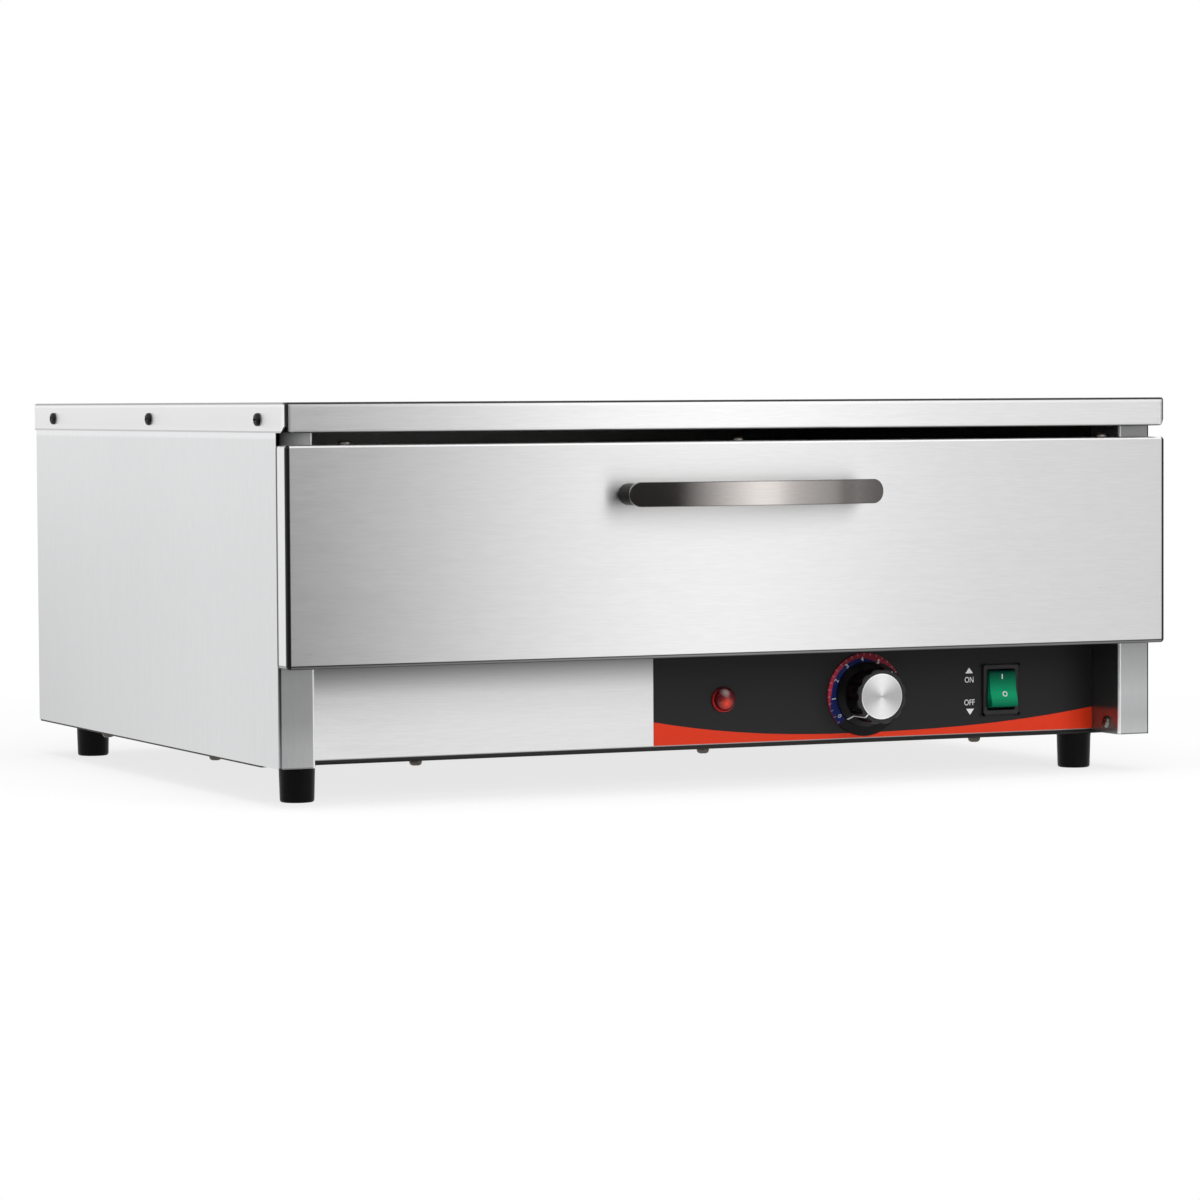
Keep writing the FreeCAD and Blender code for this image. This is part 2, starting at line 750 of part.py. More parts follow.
def make_fascia():
    """Folded strip: its end flanges lie behind the post returns, its lips carry the plates."""
    fascia = new_body("control_fascia")
    front_edge = "fascia_face - fascia_flange"
    fold = [
        ("-fascia_outer", front_edge),
        ("-return_outer", front_edge),
        ("-return_outer", "fascia_face"),
        ("return_outer", "fascia_face"),
        ("return_outer", front_edge),
        ("fascia_outer", front_edge),
        ("fascia_outer", "fascia_back"),
        ("-fascia_outer", "fascia_back"),
    ]
    pad(fascia, "XY", [fold], "base_top", "divider_bottom")
    lip_end = "foot_across - foot_top_diameter / 2"
    lip = rectangle(f"-({lip_end})", "fascia_back", lip_end, "fascia_back + fascia_lip")
    pad(fascia, "XY", [lip], "base_top", "base_top + casing_sheet")
    pad(fascia, "XY", [lip], "divider_bottom - casing_sheet", "divider_bottom")
    pocket(fascia, "XZ", control_holes("fit_clearance"), f"fascia_face - {CUT}", f"fascia_back + {CUT}")
    lip_holes = [(across, "base_screw_line", "screw_hole") for across in BASE_SCREW_SIDES]
    pocket(fascia, "XY", lip_holes, f"base_top - {CUT}", "base_top + casing_sheet")
    screw_hole = (FASCIA_SCREW_LINE, "fascia_screw_line", "screw_hole")
    for side in SIDES:
        pocket(fascia, "YZ", [screw_hole], *span(side, "return_outer", f"fascia_outer + {CUT}"))


def make_overlay():
    """Printed plastic film on the right half of the fascia."""
    overlay = new_body("fascia_overlay")
    film = rectangle("overlay_start", "base_top + overlay_margin",
                     "post_inner - fit_clearance", "divider_bottom - overlay_margin")
    pad(overlay, "XZ", [film] + control_holes("fit_clearance"), "overlay_face", "fascia_face")


def make_pilot_lamp():
    body = new_body("pilot_lamp_body")
    revolve(body, [
        ("0", "-lamp_depth"),
        ("lamp_barrel / 2", "-lamp_depth"),
        ("lamp_barrel / 2", "0"),
        ("lamp_bezel / 2", "0"),
        ("lamp_bezel / 2", "lamp_bezel_height / 2"),
        ("lamp_bezel / 2 - lamp_bezel_height / 2", "lamp_bezel_height"),
        ("lens_stem / 2 + fit_clearance", "lamp_bezel_height"),
        ("lens_stem / 2 + fit_clearance", "lamp_bezel_height - lens_stem_length"),
        ("0", "lamp_bezel_height - lens_stem_length"),
    ])
    place(body, "lamp_side", "overlay_face", "control_line", "-Y")
    lens = new_body("pilot_lamp_lens")
    revolve(lens, [
        ("0", "lamp_bezel_height - lens_stem_length"),
        ("lens_stem / 2", "lamp_bezel_height - lens_stem_length"),
        ("lens_stem / 2", "lamp_bezel_height"),
        ("lens_diameter / 2", "lamp_bezel_height"),
        ("lens_diameter / 2", "lamp_bezel_height + lens_height"),
        ("0", "lamp_bezel_height + lens_height"),
    ])
    round_edges(lens, f"lens_height * {DOME_SHARE}", lambda edge: lies_at(
        edge.CenterOfMass.z, value("lamp_bezel_height") + value("lens_height")))
    place(lens, "lamp_side", "overlay_face", "control_line", "-Y")
    nut = new_body("pilot_lamp_nut")
    ring = [("lamp_side", "control_line", "lamp_nut / 2"), ("lamp_side", "control_line", "lamp_hole")]
    pad(nut, "XZ", ring, "fascia_back", "fascia_back + lamp_nut_height")


def make_thermostat():
    """Capillary thermostat: its bush passes the fascia and the dial plate, under one nut."""
    stat = new_body("thermostat_body")
    bush_end = "fascia_back + bush_collar"
    case = centred("knob_side", "control_line", "thermostat_width", "thermostat_height")
    pad(stat, "XZ", [case], bush_end, "thermostat_back")
    collar = ("knob_side", "control_line", "bush_diameter / 2 + bush_collar")
    pad(stat, "XZ", [collar], "fascia_back", bush_end)
    bush = ("knob_side", "control_line", "bush_diameter / 2")
    pad(stat, "XZ", [bush], "dial_face - bush_reach", "fascia_back")
    bore = ("knob_side", "control_line", "shaft_diameter / 2 + shaft_play")
    pocket(stat, "XZ", [bore], f"dial_face - bush_reach - {CUT}", f"{bush_end} + shaft_seat")
    nut = new_body("thermostat_nut")
    hexagon = []
    for i in range(6):
        turn = f"{60 * i} deg"
        reach = "nut_width / (2 * cos(30 deg))"
        hexagon.append((f"knob_side + {reach} * cos({turn})", f"control_line + {reach} * sin({turn})"))
    bush_ring = ("knob_side", "control_line", "bush_hole")
    pad(nut, "XZ", [hexagon, bush_ring], "dial_face - nut_height", "dial_face")
    dial = new_body("dial_plate")
    disc = ("knob_side", "control_line", "dial_diameter / 2")
    pad(dial, "XZ", [disc, bush_ring], "dial_face", "overlay_face")
    shaft = new_body("thermostat_shaft")
    rod = ("knob_side", "control_line", "shaft_diameter / 2")
    pad(shaft, "XZ", [rod], "dial_face - shaft_reach", f"{bush_end} + shaft_seat")


def make_knob():
    """Moulded knob with a skirt, a fluted grip and a spun disc let into its face."""
    knob = new_body("knob_body")
    revolve(knob, [
        ("knob_room / 2", "knob_float"),
        ("knob_skirt / 2", "knob_float"),
        ("knob_skirt / 2", "knob_skirt_edge"),
        ("knob_grip / 2", "knob_skirt_height"),
        ("knob_grip / 2", "knob_height - knob_rim"),
        ("knob_grip / 2 - knob_rim", "knob_height"),
        ("disc_diameter / 2", "knob_height"),
        ("disc_diameter / 2", "knob_height - disc_thickness"),
        ("0", "knob_height - disc_thickness"),
        ("0", "shaft_reach"),
        ("shaft_diameter / 2 + shaft_play", "shaft_reach"),
        ("shaft_diameter / 2 + shaft_play", "knob_room_height"),
        ("knob_room / 2", "knob_room_height"),
    ])
    flute = ("knob_grip / 2 + flute_radius - flute_bite", "0", "flute_radius")
    cut = pocket(knob, "XY", [flute], "knob_skirt_height", f"knob_height + {CUT}")
    pattern = knob.newObject("PartDesign::PolarPattern", "knob_flutes")
    pattern.Originals = [cut]
    axis = [feature for feature in knob.Origin.OriginFeatures if feature.Role == "Z_Axis"]
    pattern.Axis = (axis[0], [""])
    pattern.Angle = 360
    bind(pattern, "Occurrences", "flute_count")
    knob.Tip = pattern
    place(knob, "knob_side", "dial_face", "control_line", "-Y")
    disc = new_body("knob_disc")
    revolve(disc, [
        ("0", "knob_height - disc_thickness"),
        ("disc_diameter / 2 - fit_clearance", "knob_height - disc_thickness"),
        ("disc_diameter / 2 - fit_clearance", "knob_height"),
        ("0", "knob_height"),
    ])
    place(disc, "knob_side", "dial_face", "control_line", "-Y")


def make_rocker_switch():
    """Snap-in housing with a bezel, and the rocker on its two trunnions, tipped to ON."""
    housing = new_body("rocker_housing")
    bezel_face = "overlay_face - switch_bezel_thickness"
    bezel = centred("rocker_side", "control_line", "switch_bezel_width", "switch_bezel_height")
    pad(housing, "XZ", [bezel], bezel_face, "overlay_face")
    barrel = centred("rocker_side", "control_line", "switch_body_width", "switch_body_height")
    pad(housing, "XZ", [barrel], "overlay_face", "switch_back")
    well = centred("rocker_side", "control_line", "(rocker_width + 2 * rocker_side_gap)",
                   "(rocker_height + 2 * rocker_end_gap)")
    pocket(housing, "XZ", [well], f"{bezel_face} - {CUT}", "pivot_line + well_depth")
    pivot_hole = ("pivot_line", "control_line", "trunnion_diameter / 2 + trunnion_play")
    reach = "(rocker_width / 2 + trunnion_length + rocker_side_gap)"
    pocket(housing, "YZ", [pivot_hole], f"rocker_side - {reach}", f"rocker_side + {reach}")
    rocker = new_body("rocker_button")
    half = "rocker_height / 2"
    profile = [
        ("-rocker_rise", f"-{half}"),
        ("-rocker_waist", "0"),
        ("-rocker_rise", half),
        ("-rocker_back", half),
        ("rocker_root", "rocker_root_height / 2"),
        ("rocker_root", "-rocker_root_height / 2"),
        ("-rocker_back", f"-{half}"),
    ]
    pad(rocker, "YZ", [profile], "-rocker_width / 2", "rocker_width / 2")
    pin_end = "rocker_width / 2 + trunnion_length"
    pad(rocker, "YZ", [("0", "0", "trunnion_diameter / 2")], f"-({pin_end})", pin_end)
    tilt = FreeCAD.Rotation(TURNS["-X"], value("rocker_tilt"))
    rocker.Placement = FreeCAD.Placement(FreeCAD.Vector(), tilt)
    bind(rocker, "Placement.Rotation.Angle", "rocker_tilt")
    bind(rocker, "Placement.Base.x", "rocker_side")
    bind(rocker, "Placement.Base.y", "pivot_line")
    bind(rocker, "Placement.Base.z", "control_line")


def make_spades():
    """Brass blades behind the switch and the thermostat."""
    blades = []
    for across, level in (("rocker_side", "switch_back"), ("knob_side", "thermostat_back")):
        for i in (-1, 1):
            blade = new_body("spade", piece=False)
            up = f"control_line + {i} * spade_spacing / 2"
            face = centred(across, up, "spade_width", "spade_thickness")
            pad(blade, "XZ", [face], level, f"{level} + spade_length")
            blades.append(blade)
    group("spade_terminals", blades)


# Liner, divider and insulation

def make_divider():
    """Plate between the drawer space and the wiring space, turned down at the rear."""
    divider = new_body("divider_plate")
    sheet = rectangle("-body_inside + seam_gap", "fascia_face", "body_inside - seam_gap", "rear_panel_front")
    pad(divider, "XY", [sheet], "divider_bottom", "divider_top")
    fold = rectangle("-post_inner", "rear_panel_front - liner_sheet", "post_inner", "rear_panel_front")
    pad(divider, "XY", [fold], "divider_bottom - fascia_lip", "divider_bottom")
    holes = [(HEATER_LEAD_SIDE, line, "heater_hole") for line in (HEATER_LINES[0], HEATER_LINES[-1])]
    holes.append(("knob_side", "bulb_line", "capillary_diameter / 2 + heater_clearance"))
    pocket(divider, "XY", holes, f"divider_bottom - {CUT}", f"divider_top + {CUT}")


def make_liner():
    """Walls and roof of the drawer space, folded from one sheet, and its back."""
    liner = new_body("inner_liner")
    fold = [
        ("-liner_outer", "divider_top"),
        ("-return_outer", "divider_top"),
        ("-return_outer", "roof_bottom"),
        ("return_outer", "roof_bottom"),
        ("return_outer", "divider_top"),
        ("liner_outer", "divider_top"),
        ("liner_outer", "roof_top"),
        ("-liner_outer", "roof_top"),
    ]
    pad(liner, "XZ", [fold], "body_front + liner_inset", "liner_rear")
    for side in SIDES:
        flange = rectangle("liner_outer", "fascia_back", "liner_outer + liner_flange", "liner_rear")
        pad(liner, "XY", [mirrored(side, flange)], "divider_top", "divider_top + liner_sheet")
        holes = [(line, "rail_line", "rivet_shank / 2") for line in RIVET_LINES]
        pocket(liner, "YZ", holes, *span(side, "return_outer", "liner_outer"))
    back = new_body("liner_back")
    sheet = rectangle("-return_outer", "divider_top", "return_outer", "roof_bottom")
    pad(back, "XZ", [sheet], "liner_rear - liner_sheet", "liner_rear")


def make_insulation():
    """Fibre boards between the liner and the casing."""
    boards = []
    for side in SIDES:
        board = new_body(f"{side}_board", piece=False)
        outline = rectangle("liner_outer + wool_gap", "body_front + casing_sheet",
                            "body_inside", "liner_rear")
        pad(board, "XY", [mirrored(side, outline)], "divider_top + liner_sheet", "roof_top")
        boards.append(board)
    top = new_body("top_board", piece=False)
    outline = rectangle("-post_inner", "body_front + liner_inset", "post_inner", "rear_panel_front")
    pad(top, "XY", [outline], "roof_top", "cap_underside")
    rear = new_body("rear_board", piece=False)
    outline = rectangle("-post_inner", "liner_rear", "post_inner", "rear_panel_front")
    pad(rear, "XY", [outline], "divider_top", "roof_top")
    group("insulation_boards", boards + [top, rear])


# Drawer and slides

def make_drawer_front():
    """Folded pan with welded corners, and the plate that closes its back."""
    front = new_body("drawer_front")
    outer = rectangle("-cap_side", "drawer_bottom", "cap_side", "drawer_top")
    pad(front, "XZ", [outer], "cap_front", "front_back")
    inner = rectangle("-body_side", "drawer_bottom + casing_sheet", "body_side", "drawer_top - casing_sheet")
    pocket(front, "XZ", [inner], "cap_front + casing_sheet", f"front_back + {CUT}")
    handle_holes = [(f"{i} * handle_spacing / 2", "handle_line", "screw_hole") for i in (-1, 1)]
    pocket(front, "XZ", handle_holes, f"cap_front - {CUT}", "cap_front + casing_sheet")
    top_holes = [(f"{i} * front_screw_side", FRONT_SCREW_LINE, "screw_hole") for i in (-1, 0, 1)]
    pocket(front, "XY", top_holes, "drawer_top - casing_sheet", f"drawer_top + {CUT}")
    sides = (value("cap_side"),)
    levels = (value("drawer_bottom"), value("drawer_top"))
    round_edges(front, "front_corner_radius", lambda edge: runs_along(edge, "+Y")
                and lies_at(abs(edge.CenterOfMass.x), *sides)
                and lies_at(edge.CenterOfMass.z, *levels))
    round_edges(front, "bend_radius", lambda edge: lies_at(edge.CenterOfMass.y, value("cap_front"))
                and not edge.isClosed())
    plate = new_body("drawer_inner_plate")
    low = "drawer_bottom + casing_sheet"
    high = "drawer_top - casing_sheet"
    sheet = rectangle("-body_side + seam_gap", low, "body_side - seam_gap", high)
    pad(plate, "XZ", [sheet], "front_back - casing_sheet", "front_back")
    for start, end in ((low, f"{low} + casing_sheet"), (f"{high} - casing_sheet", high)):
        flange = rectangle("-body_side + seam_gap", "front_back - inner_flange",
                           "body_side - seam_gap", "front_back - casing_sheet")
        pad(plate, "XY", [flange], start, end)
    pocket(plate, "XY", top_holes, f"{high} - casing_sheet - {CUT}", f"{high} + {CUT}")
    screws = [pan_screw("drawer_front_screw", across, FRONT_SCREW_LINE, "drawer_top", "+Z")
              for across, line, radius in top_holes]
    group("drawer_front_screws", screws)


def make_drawer_box():
    """Open welded box with an outward rim, riveted to the drawer rails."""
    box = new_body("drawer_box")
    outer = rectangle("-box_side", "front_back", "box_side", "box_rear")
    pad(box, "XY", [outer], "box_bottom", "box_top")
    inner = rectangle("-box_side + box_sheet", "front_back + box_sheet",
                      "box_side - box_sheet", "box_rear - box_sheet")
    pocket(box, "XY", [inner], "box_bottom + box_sheet", f"box_top + {CUT}")
    rim = "box_top - box_sheet"
    for side in SIDES:
        strip = rectangle("box_side", "front_back", "box_side + box_rim", "box_rear")
        pad(box, "XY", [mirrored(side, strip)], rim, "box_top")
    strip = rectangle("-box_side - box_rim", "box_rear", "box_side + box_rim", "box_rear + box_rim")
    pad(box, "XY", [strip], rim, "box_top")
    for side in SIDES:
        holes = [(line, "rail_line", "rivet_shank / 2") for line in RIVET_LINES]
        pocket(box, "YZ", holes, *span(side, "box_side - box_sheet", "box_side"))


def channel(web, inside, tip, half):
    """C section: its web from web to inside, its flanges reaching on to the tip."""
    low = f"rail_line - ({half})"
    high = f"rail_line + ({half})"
    return [
        (web, low),
        (tip, low),
        (tip, f"{low} + rail_sheet"),
        (inside, f"{low} + rail_sheet"),
        (inside, f"{high} - rail_sheet"),
        (tip, f"{high} - rail_sheet"),
        (tip, high),
        (web, high),
    ]


def make_slides():
    """Three nested channels on each side: on the liner, between, and on the drawer box."""
    tip = "box_side + 2 * rail_play"
    cabinet_inside = "return_outer - rail_sheet"
    middle_web = "return_outer - rail_sheet - rail_play"
    middle_inside = "return_outer - 2 * rail_sheet - rail_play"
    drawer_inside = "box_side + rail_sheet"
    drawer_tip = "return_outer - 2 * rail_sheet - 2 * rail_play"
    middle_half = "rail_height / 2 - rail_sheet - rail_play"
    drawer_half = "rail_height / 2 - 2 * rail_sheet - 2 * rail_play"
    sections = {
        "cabinet": channel("return_outer", cabinet_inside, tip, "rail_height / 2"),
        "middle": channel(middle_web, middle_inside, tip, middle_half),
        "drawer": channel("box_side", drawer_inside, drawer_tip, drawer_half),
    }
    webs = {
        "cabinet": (cabinet_inside, "return_outer"),
        "drawer": ("box_side", drawer_inside),
    }
    for side in SIDES:
        for member, section in sections.items():
            rail = new_body(f"{side}_{member}_rail")
            pad(rail, "XZ", [mirrored(side, section)], "rail_front", "rail_rear")
            if member in webs:
                holes = [(line, "rail_line", "rivet_shank / 2") for line in RIVET_LINES]
                pocket(rail, "YZ", holes, *span(side, *webs[member]))
    seats = {
        "cabinet": ("liner_outer", "liner_sheet + rail_sheet"),
        "drawer": (drawer_inside, "box_sheet + rail_sheet"),
    }
    for member, (seat, length) in seats.items():
        rivets = []
        for side in SIDES:
            outward = "+X" if side == "right" else "-X"
            for line in RIVET_LINES:
                rivet = new_body(f"{side}_{member}_rivet", piece=False)
                revolve(rivet, [
                    ("0", f"-({length})"),
                    ("rivet_shank / 2", f"-({length})"),
                    ("rivet_shank / 2", "0"),
                    ("rivet_head / 2", "0"),
                    ("rivet_head / 2", "rivet_head_height / 2"),
                    ("rivet_shank / 2", "rivet_head_height"),
                    ("0", "rivet_head_height"),
                ])
                place(rivet, to_side(side, seat), line, "rail_line", outward)
                rivets.append(rivet)
        group(f"{member}_rail_rivets", rivets)


def make_handle():
    """Bow strip with full-round ends, on two round bosses screwed from inside the pan."""
    bar = new_body("handle_bar")
    sketch = sketch_at(bar, "XY", "handle_line - handle_height / 2")
    half = value("handle_length") / 2
    foot = value("cap_front") - value("handle_standoff")
    radius = value("bow_radius")
    centre = FreeCAD.Vector(0, foot - value("handle_bow") + radius, 0)
    for reach in (radius, radius + value("handle_thickness")):
        swing = math.asin(half / reach)
        curve = Part.Circle(centre, UP, reach)
        middle = 1.5 * math.pi
        sketch.addGeometry(Part.ArcOfCircle(curve, middle - swing, middle + swing), False)
    sketch.addGeometry(Part.LineSegment(sketch.getPoint(0, 1), sketch.getPoint(1, 1)), False)
    sketch.addGeometry(Part.LineSegment(sketch.getPoint(0, 2), sketch.getPoint(1, 2)), False)
    sketch.addConstraint([
        Sketcher.Constraint("Coincident", 0, 1, 2, 1),
        Sketcher.Constraint("Coincident", 1, 1, 2, 2),
        Sketcher.Constraint("Coincident", 0, 2, 3, 1),
        Sketcher.Constraint("Coincident", 1, 2, 3, 2),
        Sketcher.Constraint("Coincident", 0, 3, 1, 3),
        Sketcher.Constraint("Vertical", 2),
        Sketcher.Constraint("Vertical", 3),
    ])
    fix_point(sketch, 0, 3, "0", BOW_CENTRE)
    for arc, reach in ((0, "bow_radius"), (1, "bow_radius + handle_thickness")):
        sketch.addConstraint(Sketcher.Constraint("Radius", arc, sketch.Geometry[arc].Radius))
        bind(sketch, f"Constraints[{sketch.ConstraintCount - 1}]", reach)
    for end, across in ((1, "-handle_length / 2"), (2, "handle_length / 2")):
        point = sketch.getPoint(0, end)
        sketch.addConstraint(Sketcher.Constraint("DistanceX", -1, 1, 0, end, point.x))
        bind(sketch, f"Constraints[{sketch.ConstraintCount - 1}]", across)
    strip = bar.newObject("PartDesign::Pad", "handle_strip")
    strip.Profile = sketch
    bind(strip, "Length", "handle_height")
    round_edges(bar, f"handle_height * {FULL_ROUND_SHARE}", lambda edge: runs_along(edge, "+Y")
                and lies_at(abs(edge.CenterOfMass.x), half))
    for side in SIDES:
        rod = new_body(f"{side}_boss_rod", piece=False)
        revolve(rod, [
            ("screw_hole", "0"),
            ("handle_boss / 2", "0"),
            ("handle_boss / 2", "handle_reach"),
            ("0", "handle_reach"),
            ("0", "screw_length"),
            ("screw_hole", "screw_length"),
        ])
        place(rod, to_side(side, "handle_spacing / 2"), "cap_front", "handle_line", "-Y")
        bow = new_body(f"{side}_boss_bow", piece=False)
        revolve(bow, [
            ("0", "-handle_boss"),
            ("bow_radius", "-handle_boss"),
            ("bow_radius", "handle_boss"),
            ("0", "handle_boss"),
        ])
        place(bow, "0", BOW_CENTRE, "handle_line")
        boss = doc.addObject("Part::Common", f"{side}_handle_boss")
        boss.Label = f"{side}_handle_boss"
        boss.Base = rod
        boss.Tool = bow
        pieces.append(boss)
    screws = [pan_screw("handle_screw", to_side(side, "handle_spacing / 2"),
                        "cap_front + casing_sheet", "handle_line", "+Y") for side in SIDES]
    group("handle_screws", screws)


# Heater, sensing bulb and wiring

def rounded_path(points, bends):
    """Straight runs through the points, with a tangent arc of its own radius at each corner."""
    corners = [FreeCAD.Vector(*point) for point in points]
    edges = []
    start = corners[0]
    for before, corner, after, bend in zip(corners, corners[1:], corners[2:], bends):
        arriving = (corner - before).normalize()
        leaving = (after - corner).normalize()
        half_turn = arriving.getAngle(leaving) / 2
        setback = bend * math.tan(half_turn)
        inward = (leaving - arriving).normalize()
        arc_start = corner - arriving * setback
        arc_end = corner + leaving * setback
        arc_middle = corner + inward * (bend / math.cos(half_turn) - bend)
        if (arc_start - start).Length > NEAR:
            edges.append(Part.LineSegment(start, arc_start).toShape())
        edges.append(Part.Arc(arc_start, arc_middle, arc_end).toShape())
        start = arc_end
    edges.append(Part.LineSegment(start, corners[-1]).toShape())
    return Part.Wire(edges)


def tube(points, diameter, bends):
    """A round bar along a rounded path, its volume compared with section times length."""
    path = rounded_path(points, bends)
    direction = FreeCAD.Vector(*points[1]) - FreeCAD.Vector(*points[0])
    ring = Part.Wire([Part.Circle(FreeCAD.Vector(*points[0]), direction, diameter / 2).toShape()])
    solid = path.makePipeShell([ring], True, False)
    expected = math.pi * diameter ** 2 / 4 * path.Length
    if not lies_at(solid.Volume / expected, 1):
        raise ValueError("a bent tube lost or gained volume")
    return solid


def add_shape(label, shape):
    feature = doc.addObject("Part::Feature", label)
    feature.Label = label
    feature.Shape = shape
    feature.Placement = FreeCAD.Placement()
    pieces.append(feature)


def make_heater():
    """One sheathed element in four runs, its cold ends turned down through the divider."""
    lead = value("heater_run") / 2 + value("heater_lead")
    turn = value("heater_run") / 2
    pitch = value("heater_pitch")
    level = value("heater_line")
    rows = [value("heater_front") + i * pitch for i in range(4)]
    lead_end = value("divider_bottom") - value("heater_drop")
    points = [(lead, rows[0], lead_end), (lead, rows[0], level)]
    for i, across in enumerate((-turn, turn, -turn)):
        points += [(across, rows[i], level), (across, rows[i + 1], level)]
    points += [(lead, rows[3], level), (lead, rows[3], lead_end)]
    lead_bend = value("heater_bend")
    bends = [lead_bend] + [pitch / 2] * 6 + [lead_bend]
    add_shape("heating_element", tube(points, value("heater_diameter"), bends))
    studs = []
    for line in (HEATER_LINES[0], HEATER_LINES[-1]):
        stud = new_body("heater_stud", piece=False)
        pad(stud, "XY", [(HEATER_LEAD_SIDE, line, "stud_diameter / 2")], STUD_LOW, STUD_HIGH)
        studs.append(stud)
    group("heater_terminals", studs)
    brackets = []
    for i in (-1, 0, 1):
        bracket = new_body("heater_bracket", piece=False)
        left = f"{i} * bracket_spacing"
        strip = rectangle(f"{HEATER_LINES[0]} - bracket_margin", "divider_top",
                          f"{HEATER_LINES[-1]} + bracket_margin", "heater_line + bracket_margin / 2")
        tube_holes = [(line, "heater_line", "heater_hole") for line in HEATER_LINES]
        pad(bracket, "YZ", [strip] + tube_holes, left, f"{left} + bracket_sheet")
        foot = rectangle(left, f"{HEATER_LINES[0]} - bracket_margin",
                         f"{left} + bracket_foot", f"{HEATER_LINES[-1]} + bracket_margin")
        pad(bracket, "XY", [foot], "divider_top", "divider_top + bracket_sheet")
        brackets.append(bracket)
    group("heater_brackets", brackets)


def make_sensing_bulb():
    """Bulb in two clips above the divider, its capillary led down into the thermostat."""
    end = value("knob_side") - value("bulb_lead")
    back = value("bulb_line")
    level = value("bulb_height")
    stat_top = value("control_line") + value("thermostat_height") / 2
    points = [(end, back, level), (value("knob_side"), back, level), (value("knob_side"), back, stat_top)]
    capillary = tube(points, value("capillary_diameter"), [value("capillary_bend")])
    bulb_start = FreeCAD.Vector(end - value("bulb_length"), back, level)
    bulb = Part.makeCylinder(value("bulb_diameter") / 2, value("bulb_length"), bulb_start, TURNS["+X"])
    add_shape("sensing_bulb", bulb.fuse(capillary))
    clips = []
    for offset in ("clip_inset", "bulb_length - clip_inset - clip_width"):
        clip = new_body("bulb_clip", piece=False)
        left = f"knob_side - bulb_lead - bulb_length + {offset}"
        reach = "(bulb_diameter / 2 + clip_wall)"
        block = rectangle(f"bulb_line - {reach}", "divider_top",
                          f"bulb_line + {reach}", f"bulb_height + {reach}")
        hole = ("bulb_line", "bulb_height", "bulb_diameter / 2 + shaft_play")
        pad(clip, "YZ", [block, hole], left, f"{left} + clip_width")
        clips.append(clip)
    group("bulb_clips", clips)


def make_terminal_block():
    """Porcelain block on the base plate, with a screw well for each pole."""
    block = new_body("terminal_block")
    outline = centred("block_side", "block_line", "block_width", "block_depth")
    pad(block, "XY", [outline], "base_top", "base_top + block_height")
    wells = [(f"block_side + {i} * block_pitch", "block_line", "block_well / 2") for i in (-1, 0, 1)]
    top = "base_top + block_height"
    pocket(block, "XY", wells, f"{top} - block_well_depth", f"{top} + {CUT}")


def make_inlet():
    """Appliance inlet in the rear panel: flanged socket, three blades, two sunk screws."""
    inlet = new_body("inlet_housing")
    flange_face = "rear_panel_back + inlet_flange"
    flange = centred("inlet_side", "inlet_line", "inlet_flange_width", "inlet_flange_height")
    pad(inlet, "XZ", [flange], "rear_panel_back", flange_face)
    barrel = centred("inlet_side", "inlet_line", "inlet_width", "inlet_height")
    pad(inlet, "XZ", [barrel], "rear_panel_back - inlet_depth", "rear_panel_back")
    socket_floor = f"{flange_face} - inlet_socket_depth"
    socket = centred("inlet_side", "inlet_line", "(inlet_width - 2 * inlet_wall)",
                     "(inlet_height - 2 * inlet_wall)")
    pocket(inlet, "XZ", [socket], socket_floor, f"{flange_face} + {CUT}")
    blades = [centred(across, up, "pin_width", "pin_height") for across, up in PIN_PLACES]
    pocket(inlet, "XZ", blades, f"rear_panel_back - inlet_depth - {CUT}", socket_floor)
    holes = [(across, "inlet_line", "screw_hole") for across in INLET_SCREW_SIDES]
    pocket(inlet, "XZ", holes, f"rear_panel_back - {CUT}", f"{flange_face} + {CUT}")
    sinks = [(across, "inlet_line", "screw_head / 2 + screw_clearance") for across in INLET_SCREW_SIDES]
    pocket(inlet, "XZ", sinks, INLET_SCREW_SEAT, f"{flange_face} + {CUT}")
    pins = []
    for blade in blades:
        pin = new_body("inlet_pin", piece=False)
        pad(pin, "XZ", [blade], PIN_TAIL_END, f"{flange_face} - pin_recess")
        pins.append(pin)
    group("inlet_pins", pins)


